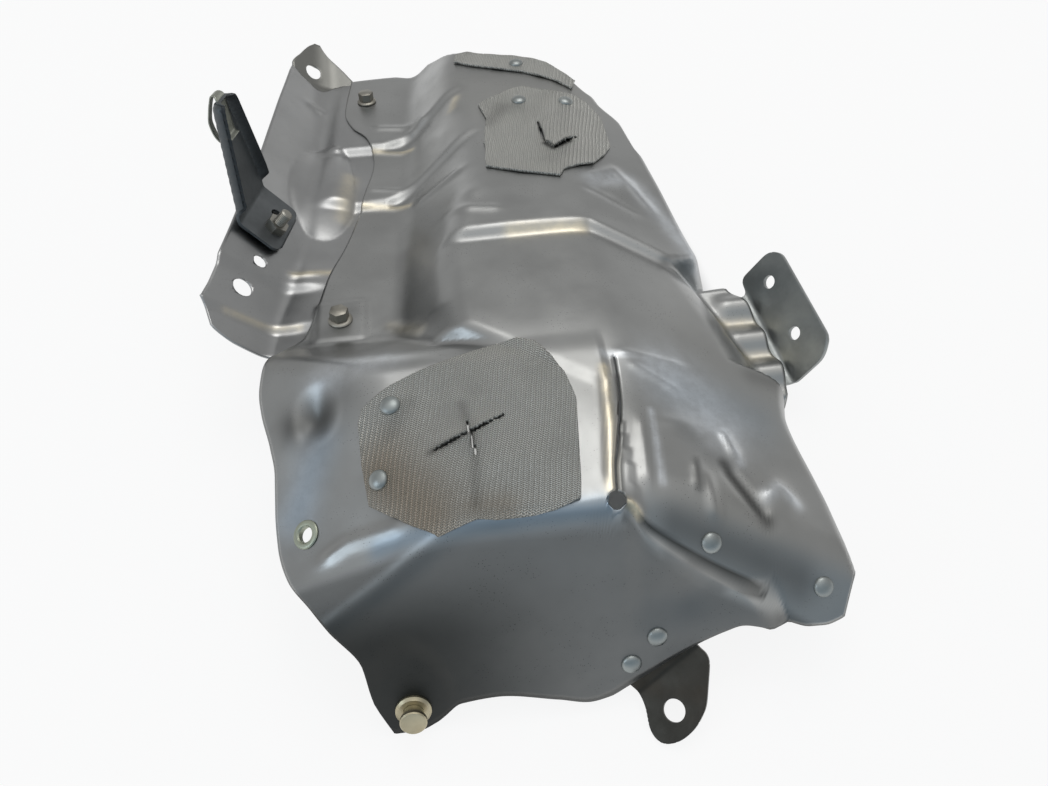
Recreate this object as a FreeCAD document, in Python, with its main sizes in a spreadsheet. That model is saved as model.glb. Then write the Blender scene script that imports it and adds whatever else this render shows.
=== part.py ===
import FreeCAD, Part
import Sketcher
import math
import os

V = FreeCAD.Vector
os.makedirs("parts", exist_ok=True)

doc = FreeCAD.newDocument("heat_shield")
sheet = doc.addObject("Spreadsheet::Sheet", "Sizes")

# Driving sizes, in millimetres. The frame has +X to the right, +Y away along the shield, +Z up.
SIZES = {
    # pressed sheets
    "gauge": 0.9,
    "lap_gap": 0.3,
    "seat_gap": 0.02,
    "hole_reach": 10.0,
    "ridge_height": 77.0,
    "ridge_depth": -155.0,
    "front_depth": -206.0,
    "front_slope": 1.55,
    "near_deck_fall": 0.04,
    "mid_deck_fall": 0.185,
    "deck_break": -62.0,
    "riser_place": 4.0,
    "riser_rise": 4.5,
    "riser_run": 8.0,
    "far_deck_gain": 0.03,
    "flange_height": 40.5,
    "flange_fall": 0.165,
    "terrace_rise": 3.5,
    "terrace_near": 70.0,
    "terrace_far": 124.0,
    "left_slope": 0.52,
    "flap_height": 58.0,
    "flap_slope": 0.8,
    "flap_cross_fall": 0.16,
    "lap_step": 2.4,
    "wall_slope": 3.5,
    "rim_height": 1.0,
    "corrugation_rise": 4.0,
    "corrugation_pitch": 20.0,
    "pad_recess": 2.0,
    "slit_width": 1.6,
    "relief_radius": 4.0,
    # side shield
    "wing_slope": 1.0,
    "dome_rise": 8.0,
    "dome_half_length": 40.0,
    "dome_half_width": 19.0,
    "wing_hole_radius": 5.0,
    "drain_hole_radius": 3.6,
    # brackets
    "plate_gauge": 2.0,
    "bracket_hole_radius": 3.4,
    "foot_hole_radius": 4.6,
    "tab_gauge": 1.4,
    "tab_hole_radius": 5.2,
    "clip_gauge": 1.6,
    "clip_leg_length": 56.0,
    "clip_flange": 5.0,
    "spring_gauge": 0.8,
    "spring_width": 12.0,
    # mesh patches
    "mesh_gauge": 1.3,
    "mesh_gap": 0.1,
    # fasteners
    "rivet_head_radius": 4.2,
    "rivet_head_rise": 1.5,
    "rivet_shank_radius": 2.0,
    "rivet_tail_radius": 3.1,
    "rivet_tail_rise": 1.0,
    "hole_clearance": 0.15,
    "thread_gap": 0.1,
    "bolt_shank_radius": 3.0,
    "bolt_flange_radius": 5.8,
    "bolt_flange_rise": 1.4,
    "bolt_hex_radius": 4.6,
    "bolt_hex_rise": 5.2,
    "bolt_shank_length": 11.0,
    "nut_hex_radius": 5.6,
    "nut_rise": 4.6,
    "stud_radius": 3.0,
    "stud_head_radius": 5.0,
    "stud_head_rise": 1.5,
    "stud_length": 18.0,
    "eyelet_ring_radius": 5.9,
    "eyelet_bore_radius": 3.2,
    "eyelet_barrel_radius": 4.3,
    "eyelet_rise": 1.0,
    "pin_head_radius": 5.4,
    "pin_neck_radius": 4.2,
    "pin_shank_radius": 3.0,
    "pin_tail_radius": 4.6,
    "pin_tail_rise": 1.0,
    "pin_rise": 8.0,
    "pin_head_rise": 2.4,
    "sleeve_radius": 7.2,
    "sleeve_rise": 2.0,
}

for row, (alias, size) in enumerate(SIZES.items(), start=1):
    cell = "A%d" % row
    sheet.set(cell, str(size))
    sheet.setAlias(cell, alias)
doc.recompute()


def size(alias):
    """Reads one driving size from the sheet."""
    return float(getattr(sheet, alias))


gauge = size("gauge")
lap_gap = size("lap_gap")


# Helpers for smooth pressed forms

def ease(k):
    """Goes from 0 to 1 with level ends."""
    k = max(0.0, min(1.0, k))
    return k * k * (3.0 - 2.0 * k)


def mix(low, high, k):
    return low + (high - low) * k


def blend_min(first, second, reach):
    """The lower of two heights, rounded where they cross."""
    k = max(reach - abs(first - second), 0.0) / reach
    return min(first, second) - k * k * reach / 4.0


def blend_max(first, second, reach):
    """The higher of two heights, rounded where they cross."""
    return -blend_min(-first, -second, reach)


def curve(points, place):
    """A smooth line without overshoot through (place, value) points."""
    if place <= points[0][0]:
        return points[0][1]
    if place >= points[-1][0]:
        return points[-1][1]
    last = len(points) - 2
    index = 0
    while place > points[index + 1][0]:
        index += 1

    def slope(number):
        start, end = points[number], points[number + 1]
        return (end[1] - start[1]) / (end[0] - start[0])

    def shared(before, here):
        return 0.0 if before * here <= 0 else 2.0 * before * here / (before + here)

    here = slope(index)
    enter = here if index == 0 else shared(slope(index - 1), here)
    leave = here if index == last else shared(slope(index + 1), here)
    run = points[index + 1][0] - points[index][0]
    k = (place - points[index][0]) / run
    value = (2 * k**3 - 3 * k * k + 1) * points[index][1]
    value += (k**3 - 2 * k * k + k) * run * enter
    value += (3 * k * k - 2 * k**3) * points[index + 1][1]
    value += (k**3 - k * k) * run * leave
    return value


# The pressed form of the main shield, as a height over the plan

LEFT_FOOT = [(-80, -60), (-4, -54), (65, -50), (110, -46), (150, -44), (200, -39)]
LEFT_WALL_SLOPE = [(-40, 1.0), (5, 1.05), (65, 0.75), (120, 0.85), (180, 1.0)]
RIGHT_WALL_FOOT = [(-185, 129), (-150, 127), (-108, 122), (-80, 127), (-30, 116), (-8, 108), (60, 98),
                   (104, 90), (125, 80), (170, 72)]
FAR_WALL_FOOT = [(-30, 214), (-14, 204), (10, 197), (28, 190), (40, 183), (52, 170), (62, 150), (75, 136),
                 (90, 120)]
SEAM = [(22, -153), (26, -155), (32, -161), (38, -165), (50, -171), (63, -177), (85, -186), (100, -194)]
PIN_PLACE = (-63.0, -200.0)
RECESS_PLACE = (-91.0, -91.0)


def near_deck(x, y):
    return size_ridge - size_near_fall * (y - size_ridge_y)


def flange_line(y):
    return size("flange_height") - size("flange_fall") * (max(y, -40.0) + 24.0)


size_ridge = size("ridge_height")
size_ridge_y = size("ridge_depth")
size_near_fall = size("near_deck_fall")


def deck(x, y):
    """The crown: near deck, middle panel, riser and far deck, falling off to the right."""
    break_y = size("deck_break")
    mid = near_deck(x, break_y) - size("mid_deck_fall") * (y - break_y)
    z = blend_min(near_deck(x, y), mid, 3.0)
    riser = size("riser_place") - 0.35 * max(0.0, -30.0 - x) - 0.48 * max(0.0, x - 40.0)
    z += size("riser_rise") * ease(0.5 + (y - riser) / size("riser_run"))
    z += size("far_deck_gain") * max(0.0, y - 10.0)
    away = ease((y + 20.0) / 140.0)
    beyond = x - mix(38.0, 46.0, away)
    return z - mix(0.45, 0.30, away) * 0.5 * (beyond + math.sqrt(beyond * beyond + 60.0))


def terraces(x, y):
    """The two steps across the left flange."""
    inner = max(0.0, x + 60.0)
    near = y - size("terrace_near") - 0.5 * inner
    far = y - size("terrace_far") - 0.45 * inner
    return size("terrace_rise") * (ease(0.5 + near / 8.0) + ease(0.5 + far / 8.0))


def left_flange(x, y):
    floor = flange_line(y) - 1.3 * max(0.0, -58.0 - y)
    wall = floor + curve(LEFT_WALL_SLOPE, y) * (x - curve(LEFT_FOOT, y))
    return blend_max(floor, wall, 5.0) + terraces(x, y)


def near_block(x, y):
    """The raised near end, with its left shoulder falling away."""
    shoulder = size_ridge - 2.0 + size("left_slope") * (x + 55.0) + 0.2 * (y + 118.0)
    back = 68.0 - 0.9 * (y + 68.0)
    return blend_min(blend_min(near_deck(x, y), shoulder, 5.0), back, 8.0)


def front_panel(x, y):
    return size("front_slope") * (y - size("front_depth"))


def flap(x, y):
    return size("flap_height") + size("flap_slope") * (y + 168.0) - size("flap_cross_fall") * (x - 57.0)


def right_flange(x, y):
    """The rim of the right and far walls, which rises into the corrugated flange."""
    kept = ease((y + 84.0) / 8.0) * (1.0 - ease((y + 12.0) / 8.0))
    crest = 0.5 + 0.5 * math.cos(2.0 * math.pi * (y + 23.5) / size("corrugation_pitch"))
    z = mix(15.0, 21.0, (y + 75.0) / 57.0)
    z += size("corrugation_rise") * crest * ease((x - 98.0) / 12.0)
    return mix(size("rim_height"), z, kept)


def right_wall(x, y):
    open_side = ease((y + 88.0) / 12.0) * (1.0 - ease((y + 14.0) / 12.0))
    return mix(size("wall_slope"), 1.5, open_side) * (curve(RIGHT_WALL_FOOT, y) - x)


def main_height(x, y):
    """Height of the main shield's upper face."""
    z = deck(x, y)
    if x < 30.0:
        z = blend_max(blend_min(z, left_flange(x, y), 7.0), near_block(x, y), 4.0)
    if x > -34.0:
        z = blend_min(z, 3.2 * (curve(FAR_WALL_FOOT, x) - y), 6.0)
    turned = ease((x - 20.0) / 14.0)
    if turned > 0.0:
        z = mix(z, blend_min(z, flap(x, y), 8.0), turned)
    if y < -110.0:
        lapped = ease((x - 22.0) / 10.0)
        step = size("lap_step") * lapped * ease((y + 191.0) / 14.0)
        under = blend_min(z, front_panel(x, y) - step, 7.0)
        seam_y = curve(SEAM, x) - 60.0 * ease((x - 78.0) / 14.0)
        over = ease((y - seam_y) / 3.0 + 0.5) * lapped
        z = mix(under, z, over)
    # the recessed pad round the pin, and the hollow behind the left corner
    pin = math.hypot(x - PIN_PLACE[0], y - PIN_PLACE[1])
    z -= size("pad_recess") * (1.0 - ease((pin - 13.0) / 6.0))
    hollow = math.hypot((x - RECESS_PLACE[0]) / 13.0, (y - RECESS_PLACE[1]) / 17.0)
    z -= 4.0 * (1.0 - ease(hollow))
    # the raised pad under the lower bolt
    pad = ease((14.0 - abs(x + 84.0)) / 4.0) * ease((16.0 - abs(y + 24.0)) / 4.0)
    z += 1.2 * pad
    z = blend_min(z, right_wall(x, y), 9.0)
    if x > 50.0 or y > 120.0 and x > -30.0:
        z = blend_max(z, right_flange(x, y), 4.0)
    return z


WING_BEND = [(-45, -119), (-23, -117), (31, -106), (76, -102), (146, -96), (200, -90)]
DOME_PLACE = (-96.0, 74.0)


def side_height(x, y):
    """Height of the side shield's upper face, under the main flange and up its own wing."""
    lapped = ease((x + 104.0) / 18.0)
    floor = flange_line(y) + terraces(x, y) * lapped
    floor += 1.2 * ease((14.0 - abs(x + 84.0)) / 4.0) * ease((16.0 - abs(y + 24.0)) / 4.0)
    drop = (gauge + lap_gap) * 1.03
    step = 2.5 * ease((y - 1.0) / 7.0) * (1.0 - ease((y - 40.0) / 60.0)) * (1.0 - lapped)
    low = 2.5 * (1.0 - ease((y + 26.0) / 6.0)) * (1.0 - lapped)
    wing = size("wing_slope") * (curve(WING_BEND, y) - x)
    z = floor - drop + step - low + blend_max(0.0, wing, 4.0)
    dome = math.hypot((x - DOME_PLACE[0]) / size("dome_half_width"),
                      (y - DOME_PLACE[1]) / size("dome_half_length"))
    return z + size("dome_rise") * (1.0 - ease(dome)) * (1.0 - ease((x + 90.0) / 14.0))


def normal_at(height, x, y):
    step = 0.05
    rise_x = (height(x + step, y) - height(x - step, y)) / (2.0 * step)
    rise_y = (height(x, y + step) - height(x, y - step)) / (2.0 * step)
    return V(-rise_x, -rise_y, 1.0).normalize()


def on_surface(height, x, y, lift=0.0):
    """The point over (x, y), moved out along the surface by lift."""
    return V(x, y, height(x, y)) + normal_at(height, x, y) * lift


def placement_on(height, x, y, lift=0.0):
    """A frame on the surface with its Z axis outwards."""
    rotation = FreeCAD.Rotation(V(0, 0, 1), normal_at(height, x, y))
    return FreeCAD.Placement(on_surface(height, x, y, lift), rotation)


# Solid sheets made of flat facets, from a height and a grid over the plan

def lifted(height, plan_rows, lift):
    return [[on_surface(height, x, y, lift) for x, y in row] for row in plan_rows]


def sheet_solid(top, bottom):
    """A closed solid between two grids of points."""
    count, width = len(top), len(top[0])
    points = [point for row in top for point in row] + [point for row in bottom for point in row]
    under = count * width
    facets = []
    for row in range(count - 1):
        for column in range(width - 1):
            one = row * width + column
            two, three, four = one + 1, one + width + 1, one + width
            straight = (points[one] + points[three]).z >= (points[two] + points[four]).z
            if straight:
                halves = [(one, two, three), (one, three, four)]
            else:
                halves = [(one, two, four), (two, three, four)]
            facets += halves
            facets += [(first + under, third + under, second + under) for first, second, third in halves]
    rim = [(0, column) for column in range(width)]
    rim += [(row, width - 1) for row in range(1, count)]
    rim += [(count - 1, column) for column in range(width - 2, -1, -1)]
    rim += [(row, 0) for row in range(count - 2, 0, -1)]
    rim = [row * width + column for row, column in rim]
    for here, there in zip(rim, rim[1:] + rim[:1]):
        facets += [(here, here + under, there + under), (here, there + under, there)]
    shape = Part.Shape()
    shape.makeShapeFromMesh(([tuple(point) for point in points], facets), 0.001)
    solid = Part.makeSolid(Part.Shell(shape.Faces))
    if solid.Volume < 0:
        solid.reverse()
    return solid


def facet_height(grid, x, y):
    """Height over (x, y) of a faceted grid, or None outside it."""
    for low, high in zip(grid, grid[1:]):
        if y < min(low[0].y, low[-1].y) - 12.0 or y > max(high[0].y, high[-1].y) + 12.0:
            continue
        for column in range(len(low) - 1):
            one, two = low[column], low[column + 1]
            three, four = high[column + 1], high[column]
            if (one + three).z >= (two + four).z:
                halves = [(one, two, three), (one, three, four)]
            else:
                halves = [(one, two, four), (two, three, four)]
            for first, second, third in halves:
                area = (second.x - first.x) * (third.y - first.y) - (third.x - first.x) * (second.y - first.y)
                if abs(area) < 1e-9:
                    continue
                v = ((x - first.x) * (third.y - first.y) - (third.x - first.x) * (y - first.y)) / area
                w = ((second.x - first.x) * (y - first.y) - (x - first.x) * (second.y - first.y)) / area
                if v >= -1e-6 and w >= -1e-6 and v + w <= 1.0 + 1e-6:
                    return first.z + v * (second.z - first.z) + w * (third.z - first.z)
    return None


def seat(grid, rotation, x, y, spots, side):
    """How far a flat face with the given turn must move to rest on a faceted skin at (x, y).

    spots are places on the flat face; side is 1 above the skin and -1 under it."""
    start = V(x, y, facet_height(grid, x, y))
    normal = rotation.multVec(V(0, 0, 1))
    best = -1000.0
    for across, along in spots:
        place = start + rotation.multVec(V(across, along, 0))
        for step in range(3):
            level = facet_height(grid, place.x, place.y)
            if level is None:
                break
            # the skin point under the spot, found along the normal
            miss = V(place.x, place.y, level) - place
            place = place + normal * miss.dot(V(0, 0, 1)) * normal.z
        if level is not None:
            best = max(best, side * (place - start).dot(normal))
    return start + normal * (side * (max(best, 0.0) + seat_gap))


def disc_spots(radius):
    spots = [(0.0, 0.0)]
    for ring in (0.5, 1.0):
        for number in range(12):
            turn = number * math.pi / 6.0
            spots.append((ring * radius * math.cos(turn), ring * radius * math.sin(turn)))
    return spots


def rect_spots(x_low, x_high, y_low, y_high):
    steps = [number / 6.0 for number in range(7)]
    return [(mix(x_low, x_high, k), mix(y_low, y_high, m)) for k in steps for m in steps]


def stations(start, end, plain, fine_places, fine):
    """Places along a line, closer together near the named ones."""
    places = [start]
    while places[-1] < end - fine:
        near = min([max(0.0, abs(places[-1] - place) - half) for place, half in fine_places])
        places.append(min(end, places[-1] + mix(fine, plain, min(1.0, near / 10.0))))
    places[-1] = end
    return places


seat_gap = size("seat_gap")

MAIN_LEFT = [(-206, -72), (-201, -78), (-192, -80), (-181, -90), (-170, -97), (-155, -106), (-140, -110),
             (-125, -111), (-110, -111), (-97, -113), (-80, -117), (-71, -118), (-60, -116.5), (-43, -110),
             (-33, -101), (-10, -95.4), (11, -91), (33, -83.4), (53, -78), (80, -72), (110, -66.6),
             (123, -67.6), (135, -70.6), (149, -79), (166, -83.6), (208, -80)]
MAIN_RIGHT = [(-206, 110), (-192, 116), (-183, 119.5), (-165, 121), (-150, 121), (-108, 117), (-92, 119),
              (-80, 126), (-70, 127.5), (-60, 127.5), (-50, 124.5), (-36, 123), (-24, 119.5), (-12, 112),
              (0, 106.5), (60, 98), (104, 89.5), (125, 80), (208, 74)]
MAIN_FRONT = [(-80, -200), (-76, -203), (-71, -206), (-62, -206), (-55, -204.5), (-44, -200.6), (-30, -200),
              (-5, -203), (8, -204.8), (16, -204), (23, -202), (52, -193), (64, -190.5), (70, -189.7),
              (77, -190.6), (86, -193), (95, -195), (101, -195), (108, -193.5), (115, -190)]
MAIN_FAR = [(-80, 208), (-52, 210), (-45, 208), (-37, 206), (-25, 205), (-14, 203), (10, 196), (28, 189),
            (40, 182), (52, 169), (62, 149), (75, 135), (82, 125)]


def sheet_plan(left, right, front, far, lengthwise, across, front_hold, far_hold):
    """Plan points whose outer rows and columns follow the outline."""
    near_end, far_end = lengthwise[0], lengthwise[-1]
    rows = []
    for place in lengthwise:
        row = []
        for k in across:
            x = mix(curve(left, place), curve(right, place), k)
            y = place
            y += (curve(far, x) - far_end) * max(0.0, (place - far_hold) / (far_end - far_hold))
            y += (curve(front, x) - near_end) * max(0.0, (front_hold - place) / (front_hold - near_end))
            row.append((x, y))
        rows.append(row)
    return rows


def across_places(count, crowd):
    """Column places from 0 to 1, closer together at both edges."""
    places = [number / (count - 1.0) for number in range(count)]
    return [k - crowd * math.sin(2.0 * math.pi * k) / (2.0 * math.pi) for k in places]


# The grid is closer at the front fold, the corrugations, the riser and the terraces
FOLD_PLACES = [(-155.0, 4.0), (-46.0, 28.0), (4.0, 4.0), (72.0, 1.0), (126.0, 1.0)]
MAIN_COLUMNS = 22
SIDE_COLUMNS = 9
main_stations = stations(-206.0, 208.0, 17.0, FOLD_PLACES, 5.0)
main_plan = sheet_plan(MAIN_LEFT, MAIN_RIGHT, MAIN_FRONT, MAIN_FAR, main_stations,
                       across_places(MAIN_COLUMNS, 0.4), -150.0, 20.0)
main_top = lifted(main_height, main_plan, 0.0)
main_bottom = lifted(main_height, main_plan, -gauge)

SIDE_LEFT = [(-42, -139), (-34, -141), (-24, -143), (-10, -140.5), (31, -133.3), (90, -127), (148, -121.5),
             (200, -115.5), (210, -114.5)]
SIDE_RIGHT = [(-42, -94), (-20, -76), (11, -71), (33, -64), (80, -58), (110, -56), (150, -60), (166, -62),
              (210, -60)]
SIDE_FRONT = [(-143, -24), (-140, -32), (-137, -35.7), (-129.5, -39.5), (-119, -41), (-111, -42), (-94, -42)]
SIDE_FAR = [(-115, 209), (-106.4, 199), (-98.6, 196), (-90, 204), (-80, 207), (-60, 207)]
side_stations = [place for place in main_stations if -30.0 < place < 200.0]
side_stations = [-42.0, -37.0, -32.0, -28.0] + [place for place in side_stations if place > -26.0] + [207.0]
side_plan = sheet_plan(SIDE_LEFT, SIDE_RIGHT, SIDE_FRONT, SIDE_FAR, side_stations,
                       across_places(SIDE_COLUMNS, 0.0), -20.0, 150.0)
side_top = lifted(side_height, side_plan, 0.0)
side_bottom = lifted(side_height, side_plan, -gauge)


def tab_height(x, y):
    """Height of the corner tab: it follows the side shield's underside, then levels out."""
    held = min(y, 203.0)
    return side_height(x, held) + 0.32 * (y - held)


TAB_LEFT = [(190, -112), (200, -113), (209, -113.5), (220, -109), (230, -104), (234, -101)]
TAB_RIGHT = [(190, -80), (205, -78), (212, -82), (220, -88), (230, -96), (234, -98)]
tab_stations = [190.0, 197.0, 204.0, 212.0, 221.0, 229.0, 234.0]
tab_plan = sheet_plan(TAB_LEFT, TAB_RIGHT, [(-120, 190)], [(-120, 234)], tab_stations,
                      across_places(6, 0.0), 190.5, 233.5)
tab_lift = -(gauge + lap_gap)


def least_room(upper, lower):
    """The least height from a lower faceted skin to an upper one, at the corners and middles of facets."""
    room = 1000.0
    for grid, other, side in ((upper, lower, 1.0), (lower, upper, -1.0)):
        for low, high in zip(grid, grid[1:]):
            for column in range(len(low) - 1):
                corners = [low[column], low[column + 1], high[column + 1], high[column]]
                for share in (0.0, 0.25, 0.5):
                    for here, there in zip(corners, corners[2:] + corners[:2]):
                        spot = here + (there - here) * share
                        level = facet_height(grid, spot.x, spot.y)
                        across = facet_height(other, spot.x, spot.y)
                        if level is not None and across is not None:
                            room = min(room, side * (level - across))
    return room


tab_top = lifted(tab_height, tab_plan, tab_lift)
tab_drop = V(0, 0, min(0.0, least_room(side_bottom, tab_top) - lap_gap / 2.0))
tab_top = [[point + tab_drop for point in row] for row in tab_top]
tab_bottom = [[point + tab_drop for point in row]
              for row in lifted(tab_height, tab_plan, tab_lift - size("tab_gauge"))]


# Document objects

def solid_feature(name, shape):
    feature = doc.addObject("Part::Feature", name)
    feature.Shape = shape
    return feature


def bound(kind, name, placement, **expressions):
    """A primitive whose sizes come from the sheet."""
    item = doc.addObject(kind, name)
    for key, expression in expressions.items():
        item.setExpression(key, expression)
    item.Placement = placement
    return item


def raised(placement, rise):
    return placement.multiply(FreeCAD.Placement(V(0, 0, rise), FreeCAD.Rotation()))


def cut(name, base, tools):
    """The base with every tool taken out."""
    tool = tools[0]
    if len(tools) > 1:
        tool = doc.addObject("Part::Compound", name + "_openings")
        tool.Links = tools
    result = doc.addObject("Part::Cut", name)
    result.Base = base
    result.Tool = tool
    result.Refine = False
    return result


def fuse(name, items):
    result = doc.addObject("Part::MultiFuse", name)
    result.Shapes = items
    result.Refine = False
    return result


def hole(name, placement, radius):
    """A straight round hole tool through a thin sheet."""
    return bound("Part::Cylinder", name, raised(placement, -size("hole_reach") / 2.0), Radius=radius,
                 Height="Sizes.hole_reach")


# Sides of the small round forms: heads and rings, bolt and stud shanks, rivet shanks
RING_SIDES = 18
HEAD_SIDES = 14
SHANK_SIDES = 12
RIVET_SIDES = 10


def many_sided(name, placement, sides, radius, height):
    """A rod with flat sides, for small heads and hidden shanks."""
    rod = bound("Part::Prism", name, placement, Circumradius=radius, Height=height)
    rod.Polygon = sides
    return rod


def shank_hole(name, placement, sides, radius):
    """A hole tool with as many sides as the shank that fills it."""
    return many_sided(name, raised(placement, -size("hole_reach") / 2.0), sides, radius, "Sizes.hole_reach")


nodes = []


def keep(item, label):
    item.Label = label
    nodes.append(item)
    return item


# Where the fasteners sit, as plan places

PATCH_RIVETS = [(-59.3, -100.2), (-65.5, -129.2), (20.6, 121.9), (47.0, 118.3), (24.6, 168.0)]
FLAP_RIVETS = [(57.4, -167.5), (102.0, -183.0)]
FOOT_RIVETS = [(35.7, -189.7), (25.0, -196.0)]
LOWER_BOLT = (-84.0, -24.3)
UPPER_BOLT = (-70.0, 179.3)
EYELET_PLACE = (-97.5, -139.0)
RELIEF_PLACE = (22.0, -153.8)
SLIT_PATH = [(34.0, -86.0), (34.4, -96.0), (27.6, -140.0), (23.4, -152.0)]
WING_HOLE = (-128.6, -5.4)
DRAIN_HOLE = (-121.9, 13.5)
TAB_HOLE = (-102.8, 211.5)
SHANK_HOLE = "Sizes.rivet_shank_radius + Sizes.hole_clearance"
BOLT_HOLE = "Sizes.bolt_shank_radius + Sizes.hole_clearance"


def turn_on(height, x, y):
    return FreeCAD.Rotation(V(0, 0, 1), normal_at(height, x, y))


def skin_place(height, grid, x, y):
    """A frame on the faceted skin, its Z axis along the normal."""
    return FreeCAD.Placement(V(x, y, facet_height(grid, x, y)), turn_on(height, x, y))


# The main shield: pressed sheet with slit, relief hole and fastener holes

main_sheet = solid_feature("main_sheet", sheet_solid(main_top, main_bottom))
main_tools = []
for number, (x, y) in enumerate(PATCH_RIVETS + FLAP_RIVETS + FOOT_RIVETS, start=1):
    main_tools.append(shank_hole("rivet_hole_%d" % number, skin_place(main_height, main_top, x, y),
                                 RIVET_SIDES, SHANK_HOLE))
for number, (x, y) in enumerate([LOWER_BOLT, UPPER_BOLT], start=1):
    main_tools.append(shank_hole("bolt_hole_%d" % number, skin_place(main_height, main_top, x, y),
                                 SHANK_SIDES, BOLT_HOLE))
main_tools.append(shank_hole("eyelet_hole", skin_place(main_height, main_top, *EYELET_PLACE), RING_SIDES,
                             "Sizes.eyelet_barrel_radius + Sizes.hole_clearance"))
main_tools.append(shank_hole("pin_hole", skin_place(main_height, main_top, *PIN_PLACE), SHANK_SIDES,
                             "Sizes.pin_shank_radius + Sizes.hole_clearance"))
main_tools.append(hole("relief_hole", skin_place(main_height, main_top, *RELIEF_PLACE), "Sizes.relief_radius"))


def ribbon_prism(path, width, low, high):
    """An upright slot tool along a plan path."""
    sides = [[], []]
    for index, (x, y) in enumerate(path):
        before = path[max(index - 1, 0)]
        after = path[min(index + 1, len(path) - 1)]
        along = V(after[0] - before[0], after[1] - before[1], 0).normalize()
        across = V(-along.y, along.x, 0) * (width / 2.0)
        sides[0].append(V(x, y, low) + across)
        sides[1].append(V(x, y, low) - across)
    outline = sides[0] + sides[1][::-1]
    face = Part.Face(Part.makePolygon(outline + outline[:1]))
    return face.extrude(V(0, 0, high - low))


main_tools.append(solid_feature("slit_tool", ribbon_prism(SLIT_PATH, size("slit_width"), 40.0, 90.0)))
keep(cut("main_shield_cut", main_sheet, main_tools), "main_shield")

# The side shield and the corner tab

side_sheet = solid_feature("side_sheet", sheet_solid(side_top, side_bottom))
side_tools = [hole("wing_hole", skin_place(side_height, side_top, *WING_HOLE), "Sizes.wing_hole_radius"),
              hole("drain_hole", skin_place(side_height, side_top, *DRAIN_HOLE), "Sizes.drain_hole_radius")]
for number, (x, y) in enumerate([LOWER_BOLT, UPPER_BOLT], start=1):
    side_tools.append(shank_hole("side_bolt_hole_%d" % number, skin_place(main_height, main_top, x, y),
                                 SHANK_SIDES, BOLT_HOLE))

CLIP_FOOT = (-120.0, 43.0)
clip_turn = turn_on(side_height, *CLIP_FOOT)
clip_up = clip_turn.multVec(V(0, 0, 1))
clip_along = V(0.172, 0.95, -0.2655)
clip_along = (clip_along - clip_up * clip_along.dot(clip_up)).normalize()
clip_turn = FreeCAD.Rotation(clip_along, clip_up.cross(clip_along), clip_up, "ZXY")
clip_seat = seat(side_top, clip_turn, CLIP_FOOT[0], CLIP_FOOT[1], rect_spots(-20.0, 20.0, -11.0, 11.0), 1)
clip_place = FreeCAD.Placement(clip_seat, clip_turn)
clip_place = clip_place.multiply(FreeCAD.Placement(V(0, 11.0, size("clip_gauge")), FreeCAD.Rotation()))
STUD_SPOT = (-5.2, -14.9)
stud_place = clip_place.multiply(FreeCAD.Placement(V(STUD_SPOT[0], STUD_SPOT[1], 0), FreeCAD.Rotation()))
side_tools.append(shank_hole("stud_hole", stud_place, SHANK_SIDES, "Sizes.stud_radius + Sizes.hole_clearance"))
keep(cut("side_shield_cut", side_sheet, side_tools), "side_shield")

tab_sheet = solid_feature("tab_sheet", sheet_solid(tab_top, tab_bottom))
tab_tool = hole("tab_hole", skin_place(tab_height, tab_top, *TAB_HOLE), "Sizes.tab_hole_radius")
keep(cut("corner_tab_cut", tab_sheet, [tab_tool]), "corner_tab")


# Bent brackets: a foot plate and a leg plate joined along a fold

def origin_plane(body, role):
    return [plane for plane in body.Origin.OriginFeatures if plane.Role == role][0]


def outline_sketch(body, name, role, corners, offset=None):
    """A closed outline on an origin plane, each corner held by two driving distances."""
    sketch = body.newObject("Sketcher::SketchObject", name)
    sketch.AttachmentSupport = [(origin_plane(body, role), "")]
    sketch.MapMode = "FlatFace"
    if offset is not None:
        sketch.AttachmentOffset = offset
    for start, end in zip(corners, corners[1:] + corners[:1]):
        sketch.addGeometry(Part.LineSegment(V(start[0], start[1], 0), V(end[0], end[1], 0)), False)
    count = len(corners)
    for index in range(count):
        sketch.addConstraint(Sketcher.Constraint("Coincident", index, 2, (index + 1) % count, 1))
    for index, (across, along) in enumerate(corners):
        if abs(across) < 1e-6:
            sketch.addConstraint(Sketcher.Constraint("PointOnObject", index, 1, -2))
        else:
            sketch.addConstraint(Sketcher.Constraint("DistanceX", -1, 1, index, 1, across))
        if abs(along) < 1e-6:
            sketch.addConstraint(Sketcher.Constraint("PointOnObject", index, 1, -1))
        else:
            sketch.addConstraint(Sketcher.Constraint("DistanceY", -1, 1, index, 1, along))
    return sketch


def pad(body, name, sketch, length, down):
    item = body.newObject("PartDesign::Pad", name)
    item.Profile = sketch
    item.setExpression("Length", length)
    item.Reversed = down
    return item


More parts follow.
